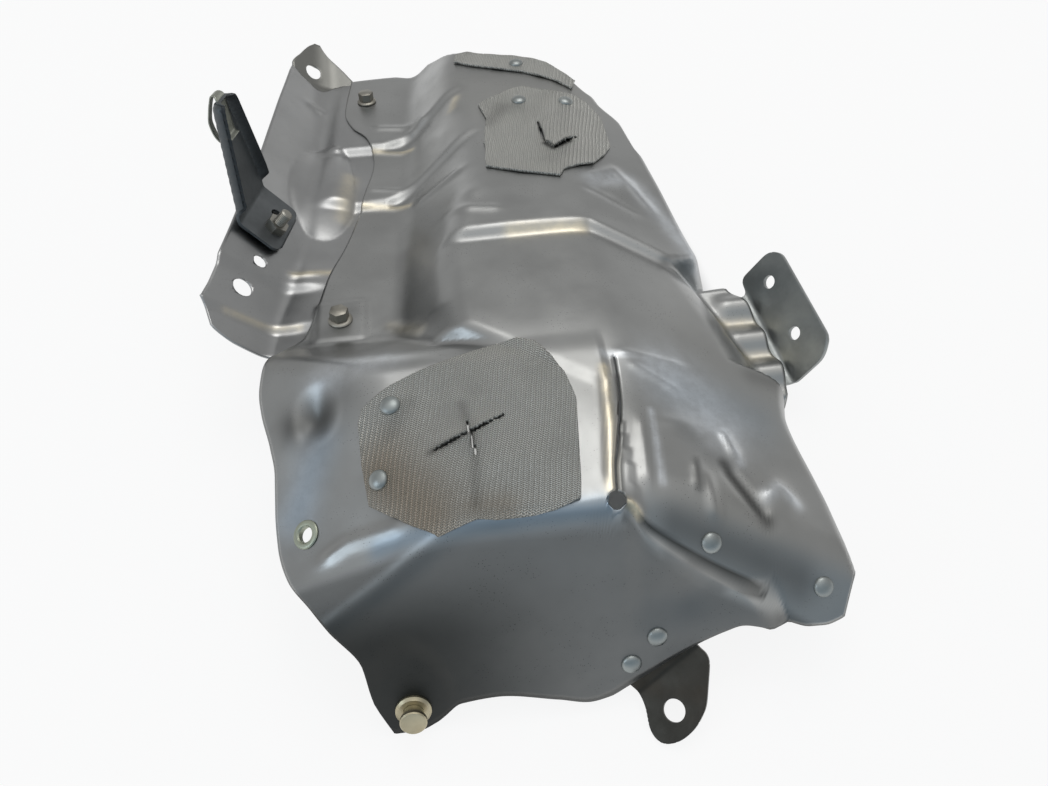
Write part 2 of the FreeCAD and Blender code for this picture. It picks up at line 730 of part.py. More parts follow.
def folded_plate(name, thickness, foot, leg, angle, placement, lips=()):
    """Foot plate under z = 0 and leg plate turned up by angle about the X axis.

    foot and leg are outlines (along the fold, away from the fold); the foot reaches to negative y.
    Corners with 0 away from the fold are stretched so that both plates fill the mitre."""
    mitre = size(thickness) * math.tan(math.radians(angle) / 2.0)
    body = doc.addObject("PartDesign::Body", name)
    foot_corners = [(x, mitre if y == 0 else y) for x, y in foot]
    leg_corners = [(x, -mitre if y == 0 else y) for x, y in leg]
    turned = FreeCAD.Placement(V(0, 0, 0), FreeCAD.Rotation(V(1, 0, 0), angle))
    foot_sketch = outline_sketch(body, name + "_foot_outline", "XY_Plane", foot_corners)
    pad(body, name + "_foot", foot_sketch, "Sizes." + thickness, True)
    leg_sketch = outline_sketch(body, name + "_leg_outline", "XY_Plane", leg_corners, turned)
    pad(body, name + "_leg", leg_sketch, "Sizes." + thickness, True)
    for number, (corners, rise) in enumerate(lips, start=1):
        lip_sketch = outline_sketch(body, "%s_lip_outline_%d" % (name, number), "XY_Plane", corners, turned)
        pad(body, "%s_lip_%d" % (name, number), lip_sketch, rise, False)
    body.Placement = placement
    return body, placement.multiply(turned)


# The right bracket, its foot under the corrugated flange

right_fold = V(127.6, -46.0, 16.4)
right_along = V(-0.171, 0.985, 0.105).normalize()
right_out = (V(0.985, 0.171, 0) - right_along * V(0.985, 0.171, 0).dot(right_along)).normalize()
right_up = right_along.cross(right_out) * -1.0
right_turn = FreeCAD.Rotation(right_along * -1.0, right_out, right_up, "ZXY")
foot_spots = rect_spots(-28.0, 22.0, -13.0, -4.0)


def seat_under(grid, placement, spots):
    """Moves a flat face along its normal until it just clears the faceted skin above it."""
    normal = placement.Rotation.multVec(V(0, 0, 1))
    room = 1000.0
    for across, along in spots:
        place = placement.multVec(V(across, along, 0))
        level = facet_height(grid, place.x, place.y)
        if level is not None:
            room = min(room, (level - place.z) * normal.z)
    return FreeCAD.Placement(placement.Base + normal * (room - seat_gap), placement.Rotation)


right_place = seat_under(main_bottom, FreeCAD.Placement(right_fold, right_turn), foot_spots)
right_body, right_leg = folded_plate(
    "right_plate", "plate_gauge",
    [(-30.0, 0), (-30.0, -12.0), (-28.0, -14.0), (22.0, -14.0), (24.0, -12.0), (24.0, 0)],
    [(25.0, 0), (23.5, 20.0), (19.0, 26.5), (14.0, 28.0), (-34.0, 28.0), (-39.0, 26.0), (-41.0, 21.0), (-40.0, 0)],
    60.0, right_place)
right_tools = []
for number, (across, along) in enumerate([(-27.4, 14.7), (3.9, 13.4)], start=1):
    spot = right_leg.multiply(FreeCAD.Placement(V(across, along, 0), FreeCAD.Rotation()))
    right_tools.append(hole("right_hole_%d" % number, spot, "Sizes.bracket_hole_radius"))
keep(cut("right_bracket_cut", right_body, right_tools), "right_bracket")

# The foot bracket under the front panel

panel_out = V(0, -size("front_slope"), 1).normalize()
foot_along = V(-0.78, -0.339, -0.526)
foot_along = (foot_along - panel_out * foot_along.dot(panel_out)).normalize()
foot_turn = FreeCAD.Rotation(foot_along, panel_out.cross(foot_along), panel_out, "ZXY")
foot_place = FreeCAD.Placement(V(41.2, -198.3, 10.8), foot_turn)
foot_place = seat_under(main_bottom, foot_place, rect_spots(-15.0, 17.0, -19.0, 0.0))
foot_body, foot_leg = folded_plate(
    "foot_plate", "plate_gauge",
    [(-14.0, 0), (-15.0, -10.0), (-12.0, -19.0), (12.0, -19.0), (17.0, -16.0), (17.0, 0)],
    [(17.0, 0), (18.0, 5.5), (22.2, 13.6), (22.5, 17.9), (21.1, 21.3), (17.6, 23.4), (13.3, 24.5), (6.7, 24.0),
     (0.1, 21.3), (-2.9, 19.3), (-14.0, 7.8), (-15.2, 4.4), (-14.0, 0)],
    45.4, foot_place)
foot_tools = [hole("foot_hole",
                   foot_leg.multiply(FreeCAD.Placement(V(9.5, 13.9, 0), FreeCAD.Rotation())),
                   "Sizes.foot_hole_radius")]
for number, (x, y) in enumerate(FOOT_RIVETS, start=1):
    foot_tools.append(shank_hole("foot_rivet_hole_%d" % number, skin_place(main_height, main_top, x, y),
                                 RIVET_SIDES, SHANK_HOLE))
keep(cut("foot_bracket_cut", foot_body, foot_tools), "foot_bracket")

# The clip bracket on the side shield's wing, with its stud, nut and spring clip

leg_length = size("clip_leg_length")
lip = size("clip_gauge")
clip_body, clip_leg = folded_plate(
    "clip_plate", "clip_gauge",
    [(-20.0, 0), (-20.0, -19.0), (-17.0, -22.0), (17.0, -22.0), (20.0, -19.0), (20.0, 0)],
    [(-20.0, 0), (-19.0, 8.0), (-10.5, leg_length), (6.5, leg_length), (18.0, 18.0), (20.0, 10.0), (20.0, 0)],
    42.0, clip_place,
    [([(-19.0, 8.0), (-10.5, leg_length), (-10.5 + lip, leg_length), (-19.0 + lip, 8.0)], "Sizes.clip_flange"),
     ([(18.0, 18.0), (6.5, leg_length), (6.5 - lip, leg_length), (18.0 - lip, 18.0)], "Sizes.clip_flange")])
clip_tools = [shank_hole("clip_stud_hole", stud_place, SHANK_SIDES, "Sizes.stud_radius + Sizes.hole_clearance"),
              hole("clip_spare_hole",
                   clip_place.multiply(FreeCAD.Placement(V(6.4, -12.7, 0), FreeCAD.Rotation())),
                   "Sizes.bracket_hole_radius")]
keep(cut("clip_bracket_cut", clip_body, clip_tools), "clip_bracket")


def strip_outline(path, thickness):
    """The closed outline of a thin strip that follows a path."""
    sides = [[], []]
    for index, (across, along) in enumerate(path):
        before = path[max(index - 1, 0)]
        after = path[min(index + 1, len(path) - 1)]
        run = math.hypot(after[0] - before[0], after[1] - before[1])
        off = (-(after[1] - before[1]) / run * thickness / 2.0, (after[0] - before[0]) / run * thickness / 2.0)
        sides[0].append((across + off[0], along + off[1]))
        sides[1].append((across - off[0], along - off[1]))
    return sides[0] + sides[1][::-1]


spring = size("spring_gauge")
inner = lap_gap / 2.0 + spring / 2.0
outer = -size("clip_gauge") - inner
SPRING_PATH = [(-20.0, inner + 2.2), (-17.0, inner), (-1.0, inner), (1.0, inner - 0.5), (1.5, -0.8), (1.0, outer + 0.4),
               (-0.6, outer - 0.7), (-3.0, -4.8), (-7.0, -7.2), (-13.0, -9.2), (-20.0, -9.6), (-27.0, -8.4),
               (-32.0, -6.0), (-34.4, -3.4), (-33.6, -1.9)]
spring_body = doc.addObject("PartDesign::Body", "spring_strip")
spring_sketch = outline_sketch(spring_body, "spring_outline", "YZ_Plane", strip_outline(SPRING_PATH, spring))
spring_pad = pad(spring_body, "spring_pad", spring_sketch, "Sizes.spring_width", False)
spring_pad.Midplane = True
spring_body.Placement = clip_leg.multiply(FreeCAD.Placement(V(-2.0, leg_length, 0), FreeCAD.Rotation()))
keep(spring_body, "spring_clip")


# Fasteners: each is built in its own frame, its Z axis along the shank

def hex_nut(name, placement, radius, rise, bore):
    outside = bound("Part::Prism", name + "_hex", placement, Circumradius=radius, Height=rise)
    outside.Polygon = 6
    inside = many_sided(name + "_bore", raised(placement, -1.0), SHANK_SIDES, bore, rise + " + 2")
    return cut(name, outside, [inside])


def rivet(name, placement, grip):
    """A button head above z = 0, a shank through the grip and a flat tail."""
    tail = raised(placement, -grip - size("rivet_tail_rise"))
    return fuse(name, [
        many_sided(name + "_head", placement, HEAD_SIDES, "Sizes.rivet_head_radius", "Sizes.rivet_head_rise"),
        many_sided(name + "_shank", tail, RIVET_SIDES, "Sizes.rivet_shank_radius",
                   "Sizes.rivet_tail_rise + Sizes.rivet_head_rise / 2 + %.3f" % grip),
        many_sided(name + "_tail", tail, RIVET_SIDES, "Sizes.rivet_tail_radius", "Sizes.rivet_tail_rise")])


def rivet_through(name, x, y, head_grid, tail_grid):
    """A rivet seated on the skin above and on the skin below."""
    rotation = turn_on(main_height, x, y)
    normal = rotation.multVec(V(0, 0, 1))
    head = seat(head_grid, rotation, x, y, disc_spots(size("rivet_head_radius")), 1)
    tail = seat(tail_grid, rotation, x, y, disc_spots(size("rivet_tail_radius")), -1)
    grip = (head - tail).dot(normal)
    # the seats are on the same axis: the head's place is moved onto it
    axis = V(x, y, facet_height(main_top, x, y))
    head = axis + normal * (head - axis).dot(normal)
    return rivet(name, FreeCAD.Placement(head, rotation), grip)


# Mesh patches: sheets on the same grid as the main shield, trimmed to their outlines

LARGE_PATCH = [(-56, -89), (-45.5, -84), (-29, -78), (-15, -73), (-5, -72), (2, -75), (8, -84), (12, -93),
               (14, -104), (14.4, -107), (10.5, -141), (8.6, -152), (-1, -155), (-9, -156), (-23, -156),
               (-30, -155), (-44.5, -158), (-57, -149), (-70, -138), (-72, -121), (-72.5, -104), (-70.5, -98),
               (-63, -93)]
MIDDLE_PATCH = [(-3, 122), (7, 129), (16.5, 136), (25, 139), (36, 132), (53, 128), (60, 120), (65, 104), (65, 75),
                (60, 66), (52, 56), (42, 52), (35, 49), (32, 43), (23, 46), (12, 49.5), (-5, 57), (-4, 69),
                (-2, 94), (0, 105)]
TOP_PATCH = [(-13, 176), (-11, 186), (-4, 188), (8, 183), (28, 177), (40, 170.5), (50, 157), (57, 146), (54, 136),
             (42, 147), (28, 157), (12, 164), (-4, 171)]


def patch_grids(outline):
    """The part of the main grid under an outline, lifted to the patch's two faces."""
    low_x, high_x = min(x for x, y in outline), max(x for x, y in outline)
    low_y, high_y = min(y for x, y in outline), max(y for x, y in outline)
    rows = [index for index, row in enumerate(main_plan)
            if any(low_x <= x <= high_x and low_y <= y <= high_y for x, y in row)]
    columns = [index for index in range(len(main_plan[0]))
               if any(low_x <= row[index][0] <= high_x and low_y <= row[index][1] <= high_y for row in main_plan)]
    part = [row[columns[0] - 1:columns[-1] + 2] for row in main_plan[rows[0] - 1:rows[-1] + 2]]
    lift = size("mesh_gap")
    return lifted(main_height, part, lift + size("mesh_gauge")), lifted(main_height, part, lift)


def patch_solid(outline, grids):
    corners = [V(x, y, -10.0) for x, y in outline]
    prism = Part.Face(Part.makePolygon(corners + corners[:1])).extrude(V(0, 0, 120.0))
    return sheet_solid(*grids).common(prism)


patches = []
for label, outline, rivets in [("large_mesh_patch", LARGE_PATCH, PATCH_RIVETS[0:2]),
                               ("middle_mesh_patch", MIDDLE_PATCH, PATCH_RIVETS[2:4]),
                               ("top_mesh_patch", TOP_PATCH, PATCH_RIVETS[4:5])]:
    grids = patch_grids(outline)
    patches.append(grids)
    patch_sheet = solid_feature(label + "_sheet", patch_solid(outline, grids))
    patch_tools = [shank_hole("%s_hole_%d" % (label, number), skin_place(main_height, main_top, x, y),
                              RIVET_SIDES, SHANK_HOLE) for number, (x, y) in enumerate(rivets, start=1)]
    keep(cut(label + "_cut", patch_sheet, patch_tools), label)

patch_of = [patches[0], patches[0], patches[1], patches[1], patches[2]]
patch_rivets = doc.addObject("Part::Compound", "patch_rivet_group")
patch_rivets.Links = [rivet_through("patch_rivet_%d" % (number + 1), x, y, patch_of[number][0], main_bottom)
                      for number, (x, y) in enumerate(PATCH_RIVETS)]
keep(patch_rivets, "patch_rivets")

flap_rivets = doc.addObject("Part::Compound", "flap_rivet_group")
flap_rivets.Links = [rivet_through("flap_rivet_%d" % number, x, y, main_top, main_bottom)
                     for number, (x, y) in enumerate(FLAP_RIVETS, start=1)]
keep(flap_rivets, "flap_rivets")

foot_normal = foot_place.Rotation.multVec(V(0, 0, 1))


def foot_rivet(name, x, y):
    """A rivet through the front panel and the foot bracket's flange, square to the flange."""
    rotation = foot_place.Rotation
    head = seat(main_top, rotation, x, y, disc_spots(size("rivet_head_radius")), 1)
    axis = V(x, y, facet_height(main_top, x, y))
    head = axis + foot_normal * (head - axis).dot(foot_normal)
    grip = (head - foot_place.Base).dot(foot_normal) + size("plate_gauge") + seat_gap
    return rivet(name, FreeCAD.Placement(head, rotation), grip)


foot_rivets = doc.addObject("Part::Compound", "foot_rivet_group")
foot_rivets.Links = [foot_rivet("foot_rivet_%d" % number, x, y)
                     for number, (x, y) in enumerate(FOOT_RIVETS, start=1)]
keep(foot_rivets, "foot_bracket_rivets")


def flange_bolt(name, x, y):
    """A hexagon bolt with a round flange, seated on the main shield, and its nut under the side shield."""
    rotation = turn_on(main_height, x, y)
    normal = rotation.multVec(V(0, 0, 1))
    axis = V(x, y, facet_height(main_top, x, y))
    top = seat(main_top, rotation, x, y, disc_spots(size("bolt_flange_radius")), 1)
    head = FreeCAD.Placement(axis + normal * (top - axis).dot(normal), rotation)
    under = seat(side_bottom, rotation, x, y, disc_spots(size("nut_hex_radius")), -1)
    nut_top = axis + normal * (under - axis).dot(normal)
    nut = FreeCAD.Placement(nut_top - normal * size("nut_rise"), rotation)
    hexagon = bound("Part::Prism", name + "_hex", raised(head, size("bolt_flange_rise")),
                    Circumradius="Sizes.bolt_hex_radius", Height="Sizes.bolt_hex_rise")
    hexagon.Polygon = 6
    bolt = fuse(name + "_form", [
        many_sided(name + "_flange", head, RING_SIDES, "Sizes.bolt_flange_radius", "Sizes.bolt_flange_rise"),
        hexagon,
        many_sided(name + "_shank", raised(head, -size("bolt_shank_length")), SHANK_SIDES,
                   "Sizes.bolt_shank_radius", "Sizes.bolt_shank_length + Sizes.bolt_flange_rise / 2")])
    return bolt, hex_nut(name + "_nut_form", nut, "Sizes.nut_hex_radius", "Sizes.nut_rise",
                         "Sizes.bolt_shank_radius + Sizes.thread_gap")


lower_bolt, lower_nut = flange_bolt("lower_bolt", *LOWER_BOLT)
upper_bolt, upper_nut = flange_bolt("upper_bolt", *UPPER_BOLT)
keep(lower_bolt, "lower_flange_bolt")
keep(upper_bolt, "upper_flange_bolt")
keep(lower_nut, "lower_bolt_nut")
keep(upper_nut, "upper_bolt_nut")

# The bracket stud: a round head under the wing, a shank through both sheets

stud_axis = stud_place.Rotation.multVec(V(0, 0, 1))
stud_level = stud_place.multVec(V(0, 0, -size("clip_gauge")))
stud_under = seat(side_bottom, stud_place.Rotation, stud_level.x, stud_level.y, disc_spots(size("stud_head_radius")), -1)
stud_drop = (stud_place.Base - stud_under).dot(stud_axis)
stud = fuse("stud_form", [
    many_sided("stud_head", raised(stud_place, -stud_drop - size("stud_head_rise")), HEAD_SIDES,
               "Sizes.stud_head_radius", "Sizes.stud_head_rise"),
    many_sided("stud_shank", raised(stud_place, -stud_drop - size("stud_head_rise")), SHANK_SIDES,
               "Sizes.stud_radius", "Sizes.stud_length")])
keep(stud, "bracket_stud")
stud_nut = hex_nut("stud_nut_form", stud_place, "Sizes.nut_hex_radius", "Sizes.nut_rise",
                   "Sizes.stud_radius + Sizes.thread_gap")
keep(stud_nut, "bracket_nut")

# The eyelet in the left shoulder: ring, barrel and rolled lower edge with a clear bore

eyelet_turn = turn_on(main_height, *EYELET_PLACE)
eyelet_axis = eyelet_turn.multVec(V(0, 0, 1))
eyelet_start = V(EYELET_PLACE[0], EYELET_PLACE[1], facet_height(main_top, *EYELET_PLACE))
eyelet_top = seat(main_top, eyelet_turn, EYELET_PLACE[0], EYELET_PLACE[1], disc_spots(size("eyelet_ring_radius")), 1)
eyelet_low = seat(main_bottom, eyelet_turn, EYELET_PLACE[0], EYELET_PLACE[1], disc_spots(size("eyelet_barrel_radius")), -1)
eyelet_place = FreeCAD.Placement(eyelet_start + eyelet_axis * (eyelet_top - eyelet_start).dot(eyelet_axis), eyelet_turn)
eyelet_drop = (eyelet_top - eyelet_low).dot(eyelet_axis)
eyelet_form = fuse("eyelet_form", [
    many_sided("eyelet_ring", eyelet_place, RING_SIDES, "Sizes.eyelet_ring_radius", "Sizes.eyelet_rise"),
    many_sided("eyelet_barrel", raised(eyelet_place, -eyelet_drop - size("eyelet_rise")), RING_SIDES,
               "Sizes.eyelet_barrel_radius", "Sizes.eyelet_rise * 2 + %.3f" % eyelet_drop)])
eyelet_bore = bound("Part::Cylinder", "eyelet_bore", raised(eyelet_place, -eyelet_drop - 4.0),
                    Radius="Sizes.eyelet_bore_radius", Height="Sizes.hole_reach")
keep(cut("eyelet_cut", eyelet_form, [eyelet_bore]), "edge_eyelet")

# The stepped pin and the sleeve in the front corner pad

pin_turn = turn_on(main_height, *PIN_PLACE)
pin_axis = pin_turn.multVec(V(0, 0, 1))
pin_start = V(PIN_PLACE[0], PIN_PLACE[1], facet_height(main_top, *PIN_PLACE))
pin_top = seat(main_top, pin_turn, PIN_PLACE[0], PIN_PLACE[1], disc_spots(size("sleeve_radius")), 1)
pin_low = seat(main_bottom, pin_turn, PIN_PLACE[0], PIN_PLACE[1], disc_spots(size("pin_tail_radius")), -1)
pin_place = FreeCAD.Placement(pin_start + pin_axis * (pin_top - pin_start).dot(pin_axis), pin_turn)
pin_drop = (pin_top - pin_low).dot(pin_axis)
sleeve_outside = many_sided("sleeve_outside", pin_place, RING_SIDES, "Sizes.sleeve_radius", "Sizes.sleeve_rise")
sleeve_inside = many_sided("sleeve_inside", raised(pin_place, -1.0), SHANK_SIDES,
                           "Sizes.pin_shank_radius + Sizes.hole_clearance", "Sizes.sleeve_rise + 2")
keep(cut("sleeve_cut", sleeve_outside, [sleeve_inside]), "corner_sleeve")
pin = fuse("pin_form", [
    many_sided("pin_tail", raised(pin_place, -pin_drop - size("pin_tail_rise")), SHANK_SIDES,
               "Sizes.pin_tail_radius", "Sizes.pin_tail_rise"),
    many_sided("pin_shank", raised(pin_place, -pin_drop - size("pin_tail_rise")), SHANK_SIDES,
               "Sizes.pin_shank_radius", "Sizes.pin_tail_rise + Sizes.sleeve_rise + 1 + %.3f" % pin_drop),
    many_sided("pin_neck", raised(pin_place, size("sleeve_rise") + seat_gap), RING_SIDES,
               "Sizes.pin_neck_radius", "Sizes.pin_rise - Sizes.sleeve_rise - 2 * Sizes.seat_gap"),
    many_sided("pin_head", raised(pin_place, size("pin_rise") - size("pin_head_rise")), RING_SIDES,
               "Sizes.pin_head_radius", "Sizes.pin_head_rise")])
keep(pin, "corner_pin")

# Origin at the middle of the bottom of the whole, then checks and one file for each node

doc.recompute()
box = FreeCAD.BoundBox()
for node in nodes:
    box.add(node.Shape.BoundBox)
shift = V(-(box.XMin + box.XMax) / 2.0, -(box.YMin + box.YMax) / 2.0, -box.ZMin)
print("shift", [round(value, 4) for value in shift])
for node in nodes:
    node.Placement = FreeCAD.Placement(shift, FreeCAD.Rotation()).multiply(node.Placement)
for item in doc.Objects:
    for state in ("Invalid", "Error"):
        if state in item.State:
            raise RuntimeError("%s is %s" % (item.Name, state))
for node in nodes:
    shape = node.Shape
    if shape.isNull() or not shape.isValid() or not shape.Solids:
        raise RuntimeError("%s has no sound shape" % node.Label)
    bounds = shape.BoundBox
    print("%-20s solids %d faces %5d volume %9.1f low %7.1f %7.1f %7.1f high %7.1f %7.1f %7.1f" % (
        node.Label, len(shape.Solids), len(shape.Faces), shape.Volume, bounds.XMin, bounds.YMin, bounds.ZMin,
        bounds.XMax, bounds.YMax, bounds.ZMax))
    shape.exportStep("parts/%s.step" % node.Label)
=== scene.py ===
import math

import bmesh
import bpy
import numpy as np
from mathutils import Matrix, Vector


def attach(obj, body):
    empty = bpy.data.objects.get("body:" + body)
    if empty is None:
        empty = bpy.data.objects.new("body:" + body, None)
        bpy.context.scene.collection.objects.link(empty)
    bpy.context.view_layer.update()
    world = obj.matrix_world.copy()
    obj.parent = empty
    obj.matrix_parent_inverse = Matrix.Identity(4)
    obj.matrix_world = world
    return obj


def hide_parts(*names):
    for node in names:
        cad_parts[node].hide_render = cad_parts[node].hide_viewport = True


bl_info = {
    "name": "Turbocharger heat shield",
    "version": (1, 0, 0),
    "blender": (4, 5, 0),
    "location": "3D View > Sidebar > Heat shield",
    "description": "Pressed heat shield with mesh patches, brackets and fasteners",
    "category": "Object",
}

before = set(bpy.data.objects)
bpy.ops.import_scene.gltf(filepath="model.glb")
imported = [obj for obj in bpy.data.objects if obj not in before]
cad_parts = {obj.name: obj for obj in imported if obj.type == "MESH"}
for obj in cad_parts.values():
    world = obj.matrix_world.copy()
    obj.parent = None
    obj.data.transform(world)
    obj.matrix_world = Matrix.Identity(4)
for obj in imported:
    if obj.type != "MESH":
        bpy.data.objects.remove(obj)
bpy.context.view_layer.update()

# The construction's own origin, from the pressed form's frame to the row's frame, in millimetres
FORM_SHIFT = np.array([-1.1961, -5.1237, 4.5358])

# The camera: picture width and focal length in pixels, sensor and place in millimetres, turns in degrees
PHOTO_WIDTH = 1048.0
FOCAL_PIXELS = 870.0
SENSOR_WIDTH = 36.0
CAMERA_PLACE = (-32.0, -300.0, 362.0)
CAMERA_TILT, CAMERA_YAW = 35.0, -7.5

# The stage: brightness of the world over height, and the floor's part hidden under the sheets, in metres
WORLD_FLOOR_LEVEL = 0.75
WORLD_LEVELS = [(0.12, 0.60), (0.35, 0.40), (0.60, 0.46), (0.74, 0.55), (0.88, 0.84), (1.0, 0.9)]
NEAR_TINT = (0.72, 0.87, 1.0, 1)
UNDER_MIDDLE, UNDER_HALF = (0.012, -0.012), (0.105, 0.185)
WHITE_SHARE = 0.88
FLOOR_RADIUS = 6
# Name, place in metres, width in metres, watts, tint
LAMPS = [
    ("overhead", (0.15, 0.45, 1.25), 0.7, 3.6, (1.0, 0.985, 0.96)),
    ("left_fill", (-1.1, -0.5, 0.7), 0.5, 2.2, (0.75, 0.88, 1.0)),
]


# Small helpers for pressed forms; places and heights are arrays in millimetres

def ease(k):
    k = np.clip(k, 0.0, 1.0)
    return k * k * (3.0 - 2.0 * k)


def mix(low, high, k):
    return low + (high - low) * k


def blend_min(first, second, reach):
    k = np.maximum(reach - np.abs(first - second), 0.0) / reach
    return np.minimum(first, second) - k * k * reach / 4.0


def blend_max(first, second, reach):
    return -blend_min(-first, -second, reach)


def curve(points, place):
    """A smooth line without overshoot through (place, value) points."""
    xs = np.array([p[0] for p in points], float)
    ys = np.array([p[1] for p in points], float)
    slopes = np.diff(ys) / np.diff(xs)
    shared = np.zeros(len(xs))
    for index in range(1, len(xs) - 1):
        before, here = slopes[index - 1], slopes[index]
        if before * here > 0:
            shared[index] = 2.0 * before * here / (before + here)
    shared[0], shared[-1] = slopes[0], slopes[-1]
    place = np.clip(np.asarray(place, float), xs[0], xs[-1])
    index = np.clip(np.searchsorted(xs, place) - 1, 0, len(xs) - 2)
    run = xs[index + 1] - xs[index]
    k = (place - xs[index]) / run
    value = (2 * k**3 - 3 * k * k + 1) * ys[index]
    value += (k**3 - 2 * k * k + k) * run * shared[index]
    value += (3 * k * k - 2 * k**3) * ys[index + 1]
    value += (k**3 - k * k) * run * shared[index + 1]
    return value


def along_path(x, y, path):
    """Distance to a plan path and how far along it, from 0 to 1."""
    best = np.full(np.shape(x), 1e9)
    place = np.zeros(np.shape(x))
    lengths = [math.dist(a, b) for a, b in zip(path, path[1:])]
    total = sum(lengths)
    gone = 0.0
    for (ax, ay), (bx, by), length in zip(path, path[1:], lengths):
        k = np.clip(((x - ax) * (bx - ax) + (y - ay) * (by - ay)) / length**2, 0.0, 1.0)
        far = np.hypot(x - ax - k * (bx - ax), y - ay - k * (by - ay))
        nearer = far < best
        best = np.where(nearer, far, best)
        place = np.where(nearer, (gone + k * length) / total, place)
        gone += length
    return best, place


def ridge(x, y, path, half_width, rise):
    """A rounded rib, or a groove if rise is negative, fading out at both ends."""
    far, place = along_path(x, y, path)
    fade = ease(place / 0.25 + 0.35) * ease((1.0 - place) / 0.25 + 0.35)
    return rise * np.exp(-((far / half_width) ** 2)) * fade


def dent(x, y, middle, half_long, half_wide, turn, rise):
    """A rounded bump, or a dent if rise is negative, its long axis turned from X."""
    c, s = math.cos(math.radians(turn)), math.sin(math.radians(turn))
    u = (x - middle[0]) * c + (y - middle[1]) * s
    v = (y - middle[1]) * c - (x - middle[0]) * s
    return rise * np.exp(-((u / half_long) ** 2) - (v / half_wide) ** 2)


# The pressed form of the main shield

# Thicknesses of the sheets, the cloth and the plates, in millimetres
GAUGE = 0.9
LAP_GAP = 0.3
TAB_GAUGE = 1.4
CLOTH_GAUGE, CLOTH_LIFT, CLOTH_PITCH = 1.2, 1.4, 0.9
PLATE_GAUGE, CLIP_GAUGE, SPRING_GAUGE = 2.0, 1.6, 0.7
RIDGE_HEIGHT, RIDGE_DEPTH, FRONT_DEPTH = 77.0, -155.0, -206.0
LEFT_FOOT = [(-80, -60), (-4, -54), (65, -50), (110, -46), (150, -44), (200, -39)]
LEFT_WALL_SLOPE = [(-40, 1.0), (5, 1.05), (65, 0.75), (120, 0.85), (180, 1.0)]
RIGHT_WALL_FOOT = [(-185, 129), (-150, 127), (-108, 122), (-80, 127), (-30, 116), (-8, 108), (60, 98),
                   (104, 90), (125, 80), (170, 72)]
FAR_WALL_FOOT = [(-30, 214), (-14, 204), (10, 197), (28, 190), (40, 183), (52, 170), (62, 150), (75, 136),
                 (90, 120)]
SEAM = [(22, -153), (26, -155), (32, -161), (38, -165), (50, -171), (63, -177), (85, -186), (100, -194)]
PIN_PLACE = (-63.0, -200.0)


def near_deck(y):
    return RIDGE_HEIGHT - 0.04 * (y - RIDGE_DEPTH)


def flange_line(y):
    return 40.5 - 0.165 * (np.maximum(y, -40.0) + 24.0)


def deck(x, y):
    mid = near_deck(-62.0) - 0.185 * (y + 62.0)
    z = blend_min(near_deck(y), mid, 3.0)
    riser = 4.0 - 0.35 * np.maximum(0.0, -30.0 - x) - 0.48 * np.maximum(0.0, x - 40.0)
    z = z + 4.5 * ease(0.5 + (y - riser) / 8.0)
    z = z + 0.03 * np.maximum(0.0, y - 10.0)
    away = ease((y + 20.0) / 140.0)
    beyond = x - mix(38.0, 46.0, away)
    return z - mix(0.45, 0.30, away) * 0.5 * (beyond + np.sqrt(beyond * beyond + 60.0))


def terraces(x, y):
    inner = np.maximum(0.0, x + 60.0)
    near = y - 70.0 - 0.5 * inner
    far = y - 124.0 - 0.45 * inner
    return 3.5 * (ease(0.5 + near / 8.0) + ease(0.5 + far / 8.0))


def left_flange(x, y):
    floor = flange_line(y) - 1.3 * np.maximum(0.0, -58.0 - y)
    wall = floor + curve(LEFT_WALL_SLOPE, y) * (x - curve(LEFT_FOOT, y))
    return blend_max(floor, wall, 5.0) + terraces(x, y)


def near_block(x, y):
    shoulder = RIDGE_HEIGHT - 2.0 + 0.52 * (x + 55.0) + 0.2 * (y + 118.0)
    back = 68.0 - 0.9 * (y + 68.0)
    return blend_min(blend_min(near_deck(y), shoulder, 5.0), back, 8.0)


def front_panel(y):
    return 1.55 * (y - FRONT_DEPTH)


def flap(x, y):
    return 58.0 + 0.8 * (y + 168.0) - 0.16 * (x - 57.0)


def right_flange(x, y):
    kept = ease((y + 84.0) / 8.0) * (1.0 - ease((y + 12.0) / 8.0))
    crest = 0.5 + 0.5 * np.cos(2.0 * math.pi * (y + 23.5) / 20.0)
    z = mix(15.0, 21.0, (y + 75.0) / 57.0) + 4.0 * crest * ease((x - 98.0) / 12.0)
    return mix(1.0, z, kept)


def right_wall(x, y):
    open_side = ease((y + 88.0) / 12.0) * (1.0 - ease((y + 14.0) / 12.0))
    return mix(3.5, 1.5, open_side) * (curve(RIGHT_WALL_FOOT, y) - x)


def bolt_pad(x, y):
    return 1.2 * ease((14.0 - np.abs(x + 84.0)) / 4.0) * ease((16.0 - np.abs(y + 24.0)) / 4.0)


